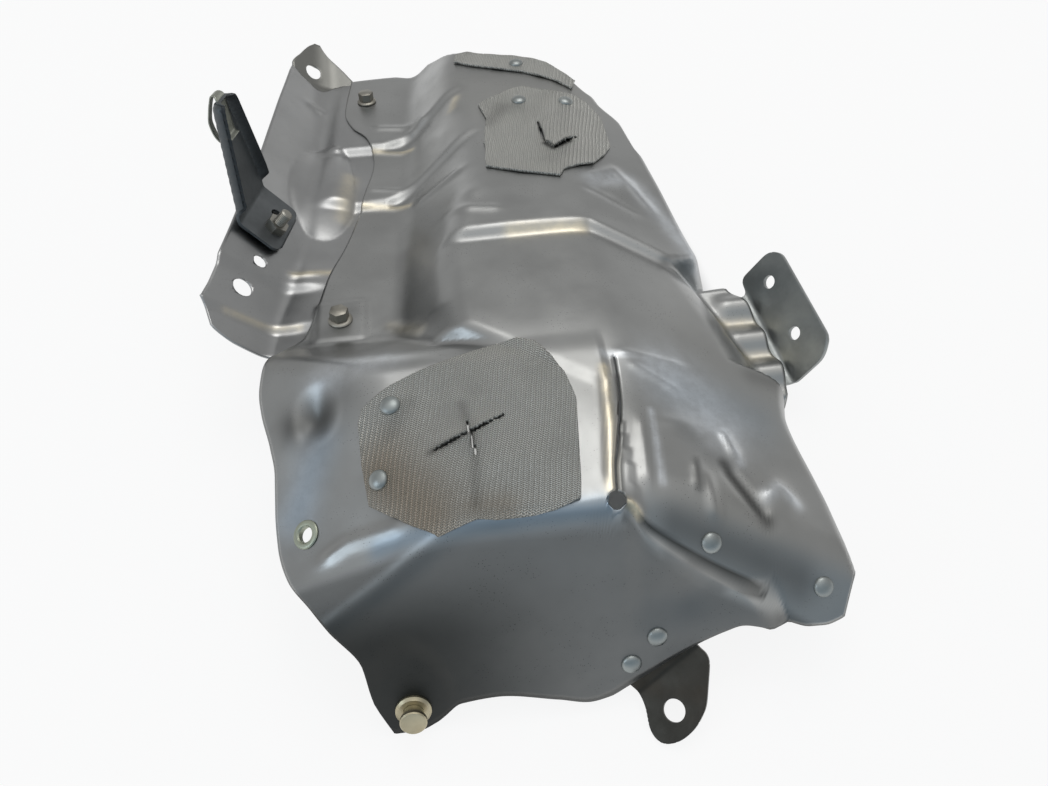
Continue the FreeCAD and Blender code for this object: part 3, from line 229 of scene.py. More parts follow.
def plain_main(x, y):
    """Height of the main shield's upper face before its small pressings and dents."""
    z = deck(x, y)
    left = blend_max(blend_min(z, left_flange(x, y), 7.0), near_block(x, y), 4.0)
    z = np.where(x < 30.0, left, z)
    z = np.where(x > -34.0, blend_min(z, 3.2 * (curve(FAR_WALL_FOOT, x) - y), 6.0), z)
    turned = ease((x - 20.0) / 14.0)
    z = mix(z, blend_min(z, flap(x, y), 8.0), turned)
    lapped = ease((x - 22.0) / 10.0)
    step = 2.4 * lapped * ease((y + 191.0) / 14.0)
    under = blend_min(z, front_panel(y) - step, 7.0)
    seam_y = curve(SEAM, x) - 60.0 * ease((x - 80.0) / 20.0)
    over = ease((y - seam_y) / (1.6 + 14.0 * ease((x - 70.0) / 14.0)) + 0.5) * lapped
    z = np.where(y < -110.0, mix(under, z, over), z)
    pin = np.hypot(x - PIN_PLACE[0], y - PIN_PLACE[1])
    z = z - 2.0 * (1.0 - ease((pin - 13.0) / 6.0))
    hollow = np.hypot((x + 91.0) / 13.0, (y + 91.0) / 17.0)
    z = z - 4.0 * (1.0 - ease(hollow))
    z = z + bolt_pad(x, y)
    z = blend_min(z, right_wall(x, y), 9.0)
    rim = (x > 50.0) | ((y > 120.0) & (x > -30.0))
    return np.where(rim, blend_max(z, right_flange(x, y), 4.0), z)


# Small pressings and creases of the main shield: (path, half width, rise)
RIDGES = [
    ([(-92, -152), (-80, -148.5), (-57, -149.5)], 2.6, 1.3),
    ([(28.5, -92), (25.5, -120), (20.5, -149)], 2.4, 1.3),
    ([(-29, -8), (-32, -25), (-37, -72)], 5.0, -0.4),
    ([(-32, 26), (-1, 20)], 3.0, 0.9),
    ([(-62, -30), (-44, -48)], 4.0, 1.3),
    ([(-68, 122), (-50, 118), (-44, 118)], 2.2, 0.9),
    ([(-79, 71), (-54, 66), (-48, 65)], 2.2, 0.9),
    ([(-46, 61), (-17, 66)], 3.2, 1.4),
    ([(-70, 84), (-51, 79)], 1.8, 0.7),
    ([(-67, 145), (-35, 140)], 3.0, 1.2),
    ([(-44, 131), (-35, 140)], 3.0, 1.0),
    ([(35, -83), (66, -87)], 2.2, 1.0),
    ([(40, -89), (60, -101)], 2.2, 0.9),
    ([(39, -116), (35, -149)], 2.0, 0.8),
    ([(74, -119), (77, -132)], 3.0, 1.8),
    ([(70, -136), (82, -160)], 3.6, -2.2),
    ([(58, -136), (55, -149)], 2.2, 1.2),
    ([(61, -140), (60, -161)], 2.4, 1.2),
    ([(84, -150), (92, -145), (98, -152)], 2.6, 1.4),
    ([(42, 42), (63, 54), (80, 20)], 3.5, 1.1),
    ([(42, 36), (71, 19)], 3.0, -0.8),
    ([(26.5, -154.5), (29.5, -157.5)], 2.0, 1.6),
]
# Its dents and bumps: (middle, half length, half width, turn in degrees, rise)
DENTS = [
    ((-32, -74), 6.0, 4.0, 0, -1.2),
    ((-92, -90), 10.0, 12.0, 20, -2.4),
    ((-104, -94), 6.0, 10.0, 0, 1.2),
    ((55, -119), 9.0, 4.0, 0, 1.5),
    ((49, -178), 8.0, 6.0, 0, -1.6),
    ((92, -148), 6.0, 7.0, 0, 1.8),
    ((-16, 132), 5.0, 7.0, 0, 0.9),
    ((-26, 108), 5.0, 9.0, 0, 0.9),
    ((-15, 38), 8.0, 6.0, 0, 0.7),
    ((66, 38), 12.0, 6.0, 30, 1.2),
    ((45, -100), 18.0, 9.0, 10, -1.0),
]


def waves(x, y, strength):
    """Slow unevenness of hand-worn thin sheet."""
    z = np.sin(x * 0.071 + 0.9 * np.sin(y * 0.043)) * np.sin(y * 0.057 + 1.3)
    z = z + 0.6 * np.sin(x * 0.13 + y * 0.05 + 0.7) * np.sin(y * 0.11 - x * 0.04)
    return strength * z


def main_form(x, y):
    """Height of the main shield's upper face with every pressing and dent, as worn as the user sets."""
    wear = sizes().wear
    z = plain_main(x, y)
    for path, half_width, rise in RIDGES:
        z = z + ridge(x, y, path, half_width, rise * wear)
    for middle, half_long, half_wide, turn, rise in DENTS:
        z = z + dent(x, y, middle, half_long, half_wide, turn, rise * wear)
    return z + waves(x, y, 0.22 * wear)


WING_BEND = [(-45, -119), (-23, -117), (31, -106), (76, -102), (146, -96), (200, -90)]
TAB_FOLD = 203.0


def side_form(x, y, wear=0.0):
    """Height of the side shield's upper face, without its small pressings if wear is 0."""
    lapped = ease((x + 104.0) / 18.0)
    floor = flange_line(y) + terraces(x, y) * lapped + bolt_pad(x, y)
    drop = (GAUGE + LAP_GAP) * 1.03
    step = 2.5 * ease((y - 1.0) / 7.0) * (1.0 - ease((y - 40.0) / 60.0)) * (1.0 - lapped)
    low = 2.5 * (1.0 - ease((y + 26.0) / 6.0)) * (1.0 - lapped)
    wing = curve(WING_BEND, y) - x
    z = floor - drop + step - low + blend_max(np.zeros(np.shape(x)), wing, 4.0)
    dome = np.hypot((x + 94.5) / 18.0, (y - 88.0) / 45.0)
    z = z + 6.6 * np.clip(1.0 - dome * dome, 0.0, 1.0) ** 0.8
    small = ridge(x, y, [(-106, 176), (-96, 172)], 3.0, 1.2)
    small = small + ridge(x, y, [(-113, 13), (-92, 15)], 1.8, 0.9)
    small = small + ridge(x, y, [(-134, -23), (-126, -23), (-104, -23)], 1.8, 0.8)
    small = small * (1.0 - lapped)
    return z + wear * small + waves(x, y, 0.15 * wear) * (1.0 - lapped)


def tab_form(x, y):
    held = np.minimum(y, TAB_FOLD)
    return side_form(x, held) + 0.32 * (y - held)


def surface_frame(form, x, y):
    """Point and outward normal of a form over one plan place."""
    step = 0.4
    at = lambda a, b: float(form(np.array([a]), np.array([b]))[0])
    rise_x = (at(x + step, y) - at(x - step, y)) / (2.0 * step)
    rise_y = (at(x, y + step) - at(x, y - step)) / (2.0 * step)
    normal = np.array([-rise_x, -rise_y, 1.0]) / math.sqrt(rise_x**2 + rise_y**2 + 1)
    return np.array([x, y, at(x, y)]), normal


def lifted(form, x, y, lift=0.0):
    """Grid points of a form, moved out along its normals."""
    step = 0.25
    rise_x = (form(x + step, y) - form(x - step, y)) / (2.0 * step)
    rise_y = (form(x, y + step) - form(x, y - step)) / (2.0 * step)
    normal = np.stack([-rise_x, -rise_y, np.ones(np.shape(x))], axis=-1)
    normal /= np.linalg.norm(normal, axis=-1, keepdims=True)
    return np.stack([x, y, form(x, y)], axis=-1) + normal * lift


# Plan outlines

MAIN_LEFT = [(-206, -72), (-201, -78), (-192, -80), (-181, -90), (-170, -97), (-155, -106), (-140, -110),
             (-125, -111), (-110, -111), (-97, -113), (-80, -117), (-71, -118), (-60, -116.5), (-43, -110),
             (-33, -101), (-10, -95.4), (11, -91), (33, -83.4), (53, -78), (80, -72), (110, -66.6),
             (123, -67.6), (135, -70.6), (149, -79), (166, -83.6), (208, -80)]
MAIN_RIGHT = [(-206, 110), (-192, 116), (-183, 119.5), (-165, 121), (-150, 121), (-108, 117), (-92, 119),
              (-80, 126), (-70, 127.5), (-60, 127.5), (-50, 124.5), (-36, 123), (-24, 119.5), (-12, 112),
              (0, 106.5), (60, 98), (104, 89.5), (125, 80), (208, 74)]
MAIN_FRONT = [(-80, -200), (-76, -203), (-71, -206), (-62, -206), (-55, -204.5), (-44, -200.6), (-30, -200),
              (-5, -203), (8, -204.8), (16, -204), (23, -202), (52, -193), (64, -190.5), (70, -189.7),
              (77, -190.6), (86, -193), (95, -195), (101, -195), (108, -193.5), (115, -190)]
MAIN_FAR = [(-80, 208), (-52, 210), (-45, 208), (-37, 206), (-25, 205), (-14, 203), (10, 196), (28, 189),
            (40, 182), (52, 169), (62, 149), (75, 135), (82, 125)]
SIDE_LEFT = [(-42, -139), (-34, -141), (-24, -143), (-10, -140.5), (31, -133.3), (90, -127), (148, -121.5),
             (200, -115.5), (210, -114.5)]
SIDE_RIGHT = [(-42, -94), (-20, -76), (11, -71), (33, -64), (80, -58), (110, -56), (150, -60), (166, -62),
              (210, -60)]
SIDE_FRONT = [(-143, -24), (-140, -32), (-137, -35.7), (-129.5, -39.5), (-119, -41), (-111, -42), (-94, -42)]
SIDE_FAR = [(-115, 209), (-106.4, 199), (-98.6, 196), (-90, 204), (-80, 207), (-60, 207)]
TAB_LEFT = [(190, -112), (200, -113), (209, -113.5), (220, -109), (230, -104), (234, -101)]
TAB_RIGHT = [(190, -80), (205, -78), (212, -82), (220, -88), (230, -96), (234, -98)]
TAB_FRONT, TAB_FAR = [(-120, 190), (-80, 190)], [(-120, 234), (-80, 234)]
RIGHT_PLATE = [(-30, -14), (24, -14), (24, 0), (25, 1), (23.5, 20), (17, 28), (-36, 28), (-41, 22), (-40, 1),
               (-30, 0)]
FOOT_PLATE = [(-15, -10), (-12, -19), (12, -19), (17, -16), (17, 0), (18, 5.5), (22.2, 13.6), (22.5, 17.9),
              (21.1, 21.3), (17.6, 23.4), (13.3, 24.5), (6.7, 24), (0.1, 21.3), (-2.9, 19.3), (-14, 7.8),
              (-15.2, 4.4), (-14, 0)]
CLIP_PLATE = [(-20, -22), (20, -22), (20, 10), (18, 18), (6.5, 56), (-10.5, 56), (-19, 8), (-20, 0)]
CLIP_LENGTH, CLIP_FLANGE = 56.0, 5.0
RIGHT_FOLD, FOOT_FOLD, CLIP_FOLD = 60.0, 45.4, 42.0
BEND_RADIUS = 3.0
RIGHT_CORNER, FOOT_CORNER, CLIP_CORNER = 4.0, 3.0, 5.0
PLATE_PITCH = 0.75
# The plates' rounded edges: width in metres, and the least angle of an edge that is rounded
EDGE_WIDTH, EDGE_ANGLE = 0.0003, 50.0
# Places of the plates: a point on the fold, the way out from it, and the way up from the face
RIGHT_SEAT = ((127.611, -46.065, 17.029), (0.98526, 0.17105, 0.0), (0.01787, -0.10291, 0.99453))
FOOT_SEAT = ((41.2, -197.554, 10.319), (0.62578, -0.42286, -0.65543), (0.0, -0.84030, 0.54213))
CLIP_SEAT = ((-125.182, 46.587, 55.431), (-0.68521, 0.30846, 0.65981), (0.70591, 0.05813, 0.70591))
# Holes of the plates: (along the fold, away from it, radius)
RIGHT_HOLES = [(-27.4, 14.7, 3.4), (3.9, 13.4, 3.4)]
FOOT_HOLES = [(9.5, 13.9, 4.6)]
CLIP_HOLES = [(6.4, -12.7, 3.2)]
# The clip's turned-up side edges: (height, width, start, end)
CLIP_LIP = (CLIP_FLANGE, 1.8, 3.0, CLIP_LENGTH)
SPRING_PATH = [(-19.0, 2.6), (-16.5, 0.6), (-1.0, 0.6), (1.0, 0.1), (1.8, -1.2), (1.2, -2.7), (-1.5, -4.2),
               (-6.0, -6.0), (-12.0, -7.6), (-17.0, -7.0), (-21.0, -4.8), (-21.6, -3.0), (-20.0, -2.2)]
SPRING_WIDTHS = [11.0, 11.0, 10.5, 9.0, 6.5, 5.0, 4.2, 4.0, 4.0, 4.0, 4.0, 4.0, 4.0]
STUD_PLACE = (-115.905, 37.054, 46.939)
SLIT_GUIDE = [(-206, 20.0), (-152, 24.0), (-140, 26.4), (-120, 30.2), (-96, 33.6), (-86, 34.0), (0, 30.0),
              (208, 10.0)]
SLIT_NEAR, SLIT_FAR = -151.0, -86.0
SLIT_HALF = 0.45
LARGE_PATCH = [(-56, -89), (-45.5, -84), (-29, -78), (-15, -73), (-5, -72), (2, -75), (8, -84), (12, -93),
               (14, -104), (14.4, -107), (10.5, -141), (8.6, -152), (-1, -155), (-9, -156), (-23, -156),
               (-30, -155), (-44.5, -158), (-57, -149), (-70, -138), (-72, -121), (-72.5, -104), (-70.5, -98),
               (-63, -93)]
MIDDLE_PATCH = [(-3, 122), (7, 129), (16.5, 136), (25, 139), (36, 132), (53, 128), (60, 120), (65, 104),
                (65, 75), (60, 66), (52, 56), (42, 52), (35, 49), (32, 43), (23, 46), (12, 49.5), (-5, 57),
                (-4, 69), (-2, 94), (0, 105)]
TOP_PATCH = [(-13, 176), (-11, 186), (-4, 188), (8, 183), (28, 177), (40, 170.5), (50, 157), (57, 146),
             (54, 136), (42, 147), (28, 157), (12, 164), (-4, 171)]
PATCH_RIVETS = [(-59.3, -100.2), (-65.5, -129.2), (20.6, 121.9), (47.0, 118.3), (24.6, 168.0)]
FLAP_RIVETS = [(57.4, -167.5), (102.0, -183.0)]
FOOT_RIVETS = [(35.7, -189.7), (25.0, -196.0)]
LOWER_BOLT = (-84.0, -24.3)
UPPER_BOLT = (-70.0, 179.3)
# Holes of the sheets: place and radius
EYELET_PLACE, EYELET_HOLE_RADIUS = (-97.5, -139.0), 4.5
RELIEF_PLACE, RELIEF_RADIUS = (22.0, -153.8), 4.0
WING_HOLE, WING_HOLE_RADIUS = (-128.6, -5.4), 5.0
DRAIN_HOLE, DRAIN_HOLE_RADIUS = (-121.9, 13.5), 3.6
TAB_HOLE, TAB_HOLE_RADIUS = (-102.8, 211.5), 5.2

# Turned shapes: (radius, height) points, the sides of what is round, and the least angle of a sharp edge
ROUND_SIDES = 48
STUD_SIDES = 32
SHARP_ANGLE = 35.0
BOLT_LIFT, RING_LIFT = 0.15, 0.1
BOLT_FLANGE = [(0, -6), (3, -6), (3, 0), (5.8, 0.05), (5.8, 0.6), (5.3, 1.1), (4.3, 1.5), (0, 1.5)]
# Radius over the corners, lower and upper height, chamfer
BOLT_HEXAGON = (4.6, 1.3, 6.5, 0.5)
EYELET_RING = [(3.2, -1.9), (4.2, -1.9), (4.2, 0.0), (5.7, 0.05), (5.9, 0.35), (5.5, 0.8), (4.6, 1.0),
               (3.7, 0.85), (3.2, 0.3)]
SLEEVE_RING = [(3.2, 0.05), (7.2, 0.05), (7.2, 1.0), (6.6, 1.5), (6.2, 2.0), (3.2, 2.0)]
PIN_SHAPE = [(0, -3), (3, -3), (3, 2.1), (4.2, 2.15), (4.2, 5.4), (5.0, 5.6), (5.4, 6.0), (5.4, 7.4),
             (5.0, 7.9), (4.4, 8.0), (0, 8.0)]
THREAD = [(2.6 + 0.4 * (number % 2), 3.0 + 0.5 * number) for number in range(18)]
STUD_SHAPE = [(0, -5.9), (5, -5.9), (5, -4.4), (3, -4.4), (3, 2.8), *THREAD, (2.2, 12.1), (0, 12.1)]

# Grids of the sheets: share of the main sheet's columns left of its slit, and (rows, columns) of the rest
SLIT_SHARE = 0.6
SIDE_COUNTS = (170, 62)
TAB_COUNTS = (40, 34)
STRIP_COUNTS = (90, 9)
# Ends and holds of the sheets' rows, as plan_grid reads them
MAIN_SPAN = ((-206.0, 208.0), (-150.0, 20.0))
SIDE_SPAN = ((-42.0, 207.0), (-20.0, 150.0))
TAB_SPAN = ((190.0, 234.0), (190.5, 233.5))


def plan_grid(edges, ends, holds, counts, guide=None):
    """Plan places of a sheet between its left, right, front and far edges.

    ends are the places of the first and last row; the rows are straight between the holds, and past them
    they bend to the front and far edges. With a guide line, one pair of columns straddles it."""
    left, right, front, far = edges
    near_end, far_end = ends
    front_hold, far_hold = holds
    rows, columns = counts
    place = np.linspace(near_end, far_end, rows)[:, None]
    k = np.linspace(0.0, 1.0, columns)[None, :]
    low, high = curve(left, place), curve(right, place)
    if guide is None:
        x = mix(low, high, k)
    else:
        first = int(columns * SLIT_SHARE)
        centre = curve(guide, place)
        near_k = np.linspace(0.0, 1.0, first)[None, :]
        far_k = np.linspace(0.0, 1.0, columns - first)[None, :]
        before, after = mix(low, centre - SLIT_HALF, near_k), mix(centre + SLIT_HALF, high, far_k)
        x = np.concatenate([before, after], axis=1)
    y = place + np.zeros_like(x)
    y = y + (curve(far, x) - far_end) * np.maximum(0.0, (place - far_hold) / (far_end - far_hold))
    y = y + (curve(front, x) - near_end) * np.maximum(0.0, (front_hold - place) / (front_hold - near_end))
    return x, y


def follow_seam(x, y):
    """Draws two neighbouring rows onto the lap's edge, so that its step runs clean."""
    middle = y[:, y.shape[1] // 2]
    below = int(np.searchsorted(middle, -172.0))
    above = int(np.searchsorted(middle, -110.0))
    near_shift = curve(SEAM, x[below]) - 0.8 - y[below]
    far_shift = curve(SEAM, x[below + 1]) + 0.8 - y[below + 1]
    number = np.arange(y.shape[0])[:, None]
    near_share = number / below
    far_share = np.clip((above - number) / (above - below - 1.0), 0.0, 1.0)
    shift = np.where(number <= below, near_share * near_shift, far_share * far_shift)
    return y + shift * ease((x - 8.0) / 14.0) * (1.0 - ease((x - 76.0) / 14.0))


# Painted shade, highlights and reflections drawn into the sheets' colour: (path, half width, strength)

# Painted shade: in the hollow, along the lap's seam and the slit, in grooves and creases, beside ribs and by
# the lower bolt
PAINTED_SHADE_MARKS = [
    ([(-100, -92), (-88, -88)], 9.0, 0.75),
    ([(24, -153.6), (32, -160.6), (50, -170.6), (78, -183)], 1.3, 0.9),
    ([(40, -171), (60, -180)], 5.0, 0.5),
    ([(70, -136), (82, -160)], 3.6, 0.75),
    ([(24.0, -152), (26.4, -140), (30.2, -120), (33.6, -96)], 1.1, 0.7),
    ([(-78, -62), (-52, -40), (-50, 20)], 6.0, 0.25),
    ([(-79, -18), (-90, -33)], 5.0, 0.3),
    ([(55, -120), (66, -133)], 5.0, 0.25),
    ([(100, -85), (118, -88)], 6.0, 0.3),
    ([(44, -161), (92, -180)], 8.0, 0.5),
    ([(58, -136), (55, -149)], 1.8, 0.5),
]
# Painted highlights on ribs, bends and faces that catch the light
PAINTED_HIGHLIGHT_MARKS = [
    ([(56, -92), (74, -116)], 15.0, 0.8),
    ([(50, 42), (69, 48), (77, 34), (86, 12), (92, -8)], 6.0, 0.6),
    ([(-86, -76), (-62, -72)], 9.0, 0.6),
    ([(-101, -130), (-93, -104)], 8.0, 0.6),
    ([(74, -119), (78, -134)], 3.0, 0.7),
    ([(84, -150), (92, -145), (98, -152)], 3.0, 0.6),
    ([(44, -113), (41, -147)], 1.6, 0.8),
    ([(30, -84), (66, -88)], 2.4, 0.6),
]
# Painted warm reflections on rib crests and the riser
PAINTED_WARM_REFLECTIONS = [
    ([(2, 3), (36, 2)], 3.4, 0.75),
    ([(28.5, -92), (25.5, -120), (20.5, -149)], 2.0, 0.9),
    ([(-68, 122), (-50, 118), (-44, 118)], 1.8, 0.8),
    ([(-79, 71), (-54, 66), (-48, 65)], 1.8, 0.9),
    ([(-18, 128), (-15, 137)], 2.6, 0.6),
    ([(26.5, -154.5), (29.5, -157.5)], 1.6, 1.0),
    ([(100, -33), (124, -35)], 3.0, 0.55),
    ([(100, -53), (126, -55)], 3.0, 0.55),
    ([(-60, -31), (-46, -46)], 3.0, 0.35),
]
# Painted warm reflections on the side shield's ribs and dome
SIDE_PAINTED_WARM_REFLECTIONS = [
    ([(-108, 14), (-88, 16)], 2.0, 0.8),
    ([(-134, -23), (-104, -23)], 1.6, 0.5),
    ([(-84, 60), (-80, 95)], 4.0, 0.5),
]
# Painted bluish reflections on the front bend, the left shoulder and near the flap
PAINTED_BLUISH_REFLECTIONS = [
    ([(-68, -155), (20, -155)], 4.0, 0.8),
    ([(-101, -130), (-90, -104)], 9.0, 0.7),
    ([(60, -100), (92, -110)], 14.0, 0.35),
]


# Cuts in the cloth: ends, the side that stands up, and how far
LARGE_SLITS = [(((-43, -124), (-15, -111)), 1.0, 1.8), (((-30, -112), (-28, -128)), -1.0, 1.6)]
MIDDLE_SLITS = [(((28, 97), (28.5, 75)), 1.0, 1.6), (((28, 76), (33, 69)), 1.0, 2.6),
                (((33, 69), (47, 80)), 1.0, 2.8)]
MESH_BROWN_MARKS = [
    ([(-64, -125), (-48, -150)], 14.0, 0.9),
    ([(-40, -150), (-20, -152)], 7.0, 0.5),
]
# Painted shade in and beside the cloth's slits and along its fold, and two darker patches
MESH_PAINTED_SHADE = [
    ([(28, 96), (28.5, 76)], 0.7, 0.8),
    ([(28.5, 74), (32.5, 68.5), (42, 75)], 1.5, 0.95),
    ([(1, 100), (11, 116)], 5.0, 0.3),
    ([(-45, -125), (-32, -119)], 1.4, 0.5),
    ([(-31, -104), (-28, -128), (-30, -150)], 2.2, 0.28),
    ([(-60, -112), (-52, -100)], 4.0, 0.2),
]


def marked(x, y, marks):
    """Strength of a set of marks over plan places."""
    total = np.zeros(np.shape(x))
    for path, half_width, strength in marks:
        far = along_path(x, y, path)[0]
        total = np.maximum(total, strength * np.exp(-((far / half_width) ** 2)))
    return total


def main_marks(x, y):
    """Darkening of the front panel, partly heat staining and partly painted shade, and the painted shade,
    highlights and reflections of the main shield.
    """
    seam_y = np.where(x > 24.0, curve(SEAM, x), -157.0)
    front = ease((seam_y - y - 0.5) / 5.0)
    # The front panel is darker, deepest low on the left: partly heat staining, partly painted shade
    deep = front * (0.55 + 0.4 * ease((-y - 160.0) / 24.0) * ease((20.0 - x) / 80.0))
    return {
        # Painted shade, with the front panel's darkening
        "dark": np.maximum(deep, marked(x, y, PAINTED_SHADE_MARKS)),
        "painted_warm_reflection": marked(x, y, PAINTED_WARM_REFLECTIONS) * (1.0 - front),
        "blue": marked(x, y, PAINTED_BLUISH_REFLECTIONS),
        # Painted highlights
        "bright": marked(x, y, PAINTED_HIGHLIGHT_MARKS) * (1.0 - front),
    }


# Meshes

def link(mesh, name):
    item = bpy.data.objects.new(name, mesh)
    bpy.context.scene.collection.objects.link(item)
    return item


def row_place(points):
    """Form places in millimetres to row places in metres."""
    return (np.asarray(points, float) + FORM_SHIFT) / 1000.0


def grid_mesh(name, points, holes, dropped, marks):
    """An open sheet from a grid of points, with round holes snapped to true circles.

    dropped marks cells left out; holes are (centre, axis, radius) in the form's frame, and marks are
    named values over the grid that the materials read."""
    rows, columns = points.shape[:2]
    flat = points.reshape(-1, 3).copy()
    index = np.arange(rows * columns).reshape(rows, columns)
    cells = np.stack([index[:-1, :-1], index[:-1, 1:], index[1:, 1:], index[1:, :-1]], axis=-1)
    if dropped is not None:
        cells = cells[~dropped]
    cells = cells.reshape(-1, 4)
    for centre, axis, radius in holes:
        away = flat - centre
        height = away @ axis
        flat_away = away - height[:, None] * axis
        far = np.linalg.norm(flat_away, axis=1)
        inside = (far < radius) & (np.abs(height) < 9.0)
        cells = cells[~inside[cells].all(axis=1)]
        moved = np.where(inside)[0]
        scale = radius / np.maximum(far[moved], 1e-6)
        flat[moved] = centre + flat_away[moved] * scale[:, None] + height[moved, None] * axis
    used = np.unique(cells)
    renumber = np.full(len(flat), -1)
    renumber[used] = np.arange(len(used))
    mesh = bpy.data.meshes.new(name)
    mesh.from_pydata(row_place(flat[used]).tolist(), [], renumber[cells].tolist())
    mesh.polygons.foreach_set("use_smooth", [True] * len(mesh.polygons))
    for mark, values in marks.items():
        layer = mesh.attributes.new(mark, "FLOAT", "POINT")
        layer.data.foreach_set("value", values.reshape(-1)[used].astype(float))
    mesh.update()
    return mesh


def sheet_piece(name, points, gauge, holes=(), dropped=None, marks=None, side=-1.0):
    """A sheet of a gauge in millimetres; its grid is the outer face, or the middle with side 0."""
    item = link(grid_mesh(name, points, holes, dropped, marks or {}), name)
    shell = item.modifiers.new("gauge", "SOLIDIFY")
    shell.thickness = gauge / 1000.0
    shell.offset = side
    shell.use_even_offset = False
    shell.use_quality_normals = True
    return item


def hole_on(form, place, radius):
    return *surface_frame(form, *place), radius


def finish_piece(item, node, finish):
    """Gives a piece its material, hides the CAD part it stands for and hangs it on the root body."""
    dress(item, finish)
    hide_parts(node)
    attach(item, "root")


def dress(item, finish):
    item.data.materials.clear()
    item.data.materials.append(material(finish))


def lathe(profile, sides, closed=False):
    """A bmesh turned about Z from (radius, height) points."""
    made = bmesh.new()
    rings = []
    for radius, height in profile:
        if radius < 1e-9:
            rings.append([made.verts.new((0, 0, height))])
            continue
        ring = []
        for number in range(sides):
            turn = 2.0 * math.pi * number / sides
            ring.append(made.verts.new((radius * math.cos(turn), radius * math.sin(turn), height)))
        rings.append(ring)
    pairs = list(zip(rings, rings[1:]))
    if closed:
        pairs.append((rings[-1], rings[0]))
    for low, high in pairs:
        for number in range(sides):
            after = (number + 1) % sides
            if len(low) == 1:
                made.faces.new((low[0], high[after], high[number]))
            elif len(high) == 1:
                made.faces.new((low[number], low[after], high[0]))
            else:
                made.faces.new((low[number], low[after], high[after], high[number]))
    bmesh.ops.recalc_face_normals(made, faces=made.faces)
    return made


def place_bmesh(made, name, centre, axis, spin=0.0):
    """Turns a bmesh in millimetres onto an axis of the form's frame and makes an object."""
    turn = Vector((0, 0, 1)).rotation_difference(Vector(axis)).to_matrix().to_4x4()
    shift = Matrix.Translation(Vector((np.asarray(centre) + FORM_SHIFT).tolist()))
    whole = Matrix.Scale(0.001, 4) @ shift @ turn @ Matrix.Rotation(spin, 4, "Z")
    bmesh.ops.transform(made, matrix=whole, verts=made.verts)
    mesh = bpy.data.meshes.new(name)
    made.to_mesh(mesh)
    made.free()
    mesh.shade_smooth()
    mesh.set_sharp_from_angle(angle=math.radians(SHARP_ANGLE))
    return link(mesh, name)


def join_bmesh(first, second):
    """Adds the second bmesh to the first."""
    spare = bpy.data.meshes.new("spare")
    second.to_mesh(spare)
    second.free()
    first.from_mesh(spare)
    bpy.data.meshes.remove(spare)
    return first


# Shader writing: sockets wrapped so that plain arithmetic adds Math nodes

class Signal:
    """A number socket that can be used in arithmetic."""

    def __init__(self, shader, socket):
        self.shader = shader
        self.socket = socket

    def work(self, operation, *others, swap=False):
        values = [self, *others]
        if swap:
            values.reverse()
        return self.shader.maths(operation, *values)

    def __add__(self, other):
        return self.work("ADD", other)

    __radd__ = __add__

    def __sub__(self, other):
        return self.work("SUBTRACT", other)

    def __rsub__(self, other):
        return self.work("SUBTRACT", other, swap=True)

    def __mul__(self, other):
        return self.work("MULTIPLY", other)

    __rmul__ = __mul__

    def __truediv__(self, other):
        return self.work("DIVIDE", other)

    def __rtruediv__(self, other):
        return self.work("DIVIDE", other, swap=True)

    def __pow__(self, other):
        return self.work("POWER", other)


class Shader:
    """Writes one material's nodes."""

    def __init__(self, name):
        self.material = bpy.data.materials.new(name)
        self.material.use_nodes = True
        self.tree = self.material.node_tree
        self.tree.nodes.clear()
        output = self.tree.nodes.new("ShaderNodeOutputMaterial")
        self.surface = self.tree.nodes.new("ShaderNodeBsdfPrincipled")
        self.tree.links.new(self.surface.outputs[0], output.inputs["Surface"])
        self.place = Signal(self, self.tree.nodes.new("ShaderNodeTexCoord").outputs["Object"])

    def put(self, socket, value):
        if isinstance(value, Signal):
            self.tree.links.new(value.socket, socket)
        elif hasattr(value, "links"):
            self.tree.links.new(value, socket)
        else:
            socket.default_value = value

    def node(self, kind, settings, inputs, output=0):
        made = self.tree.nodes.new(kind)
        for key, value in settings.items():
            setattr(made, key, value)
        for key, value in inputs.items():
            self.put(made.inputs[key], value)
        return Signal(self, made.outputs[output])

    def maths(self, operation, *values, clamp=False):
        settings = {"operation": operation, "use_clamp": clamp}
        return self.node("ShaderNodeMath", settings, dict(enumerate(values)))

    def noise(self, scale, detail, rough, place=None):
        inputs = {"Vector": place or self.place, "Scale": scale, "Detail": detail, "Roughness": rough}
        return self.node("ShaderNodeTexNoise", {}, inputs)

    def cells(self, scale):
        return self.node("ShaderNodeTexVoronoi", {}, {"Vector": self.place, "Scale": scale}, "Distance")

    def remap(self, value, low, high, to_low=0.0, to_high=1.0):
        inputs = {0: value, 1: low, 2: high, 3: to_low, 4: to_high}
        return self.node("ShaderNodeMapRange", {"interpolation_type": "SMOOTHSTEP"}, inputs)

    def blend(self, factor, first, second):
        """Colour mix; a plain colour is (red, green, blue)."""
        first, second = (part if isinstance(part, Signal) else (*part, 1.0) for part in (first, second))
        inputs = {0: factor, 6: first, 7: second}
        return self.node("ShaderNodeMix", {"data_type": "RGBA"}, inputs, 2)

    def mark(self, name):
        """A named value stored on the mesh, 0 where the mesh has none."""
        return self.node("ShaderNodeAttribute", {"attribute_name": name}, {}, "Fac")

    def bump(self, height, strength, distance):
        inputs = {"Height": height, "Strength": strength, "Distance": distance}
        return self.node("ShaderNodeBump", {}, inputs)

    def split(self, place):
        """The X, Y and Z of a place."""
        parts = self.tree.nodes.new("ShaderNodeSeparateXYZ")
        self.put(parts.inputs[0], place)
        return [Signal(self, part) for part in parts.outputs]

    def feed(self, **inputs):
        for key, value in inputs.items():
            self.put(self.surface.inputs[key.replace("_", " ")], value)
        return self.material


def shade(value, gain):
    return tuple(min(1.0, part * gain) for part in value)


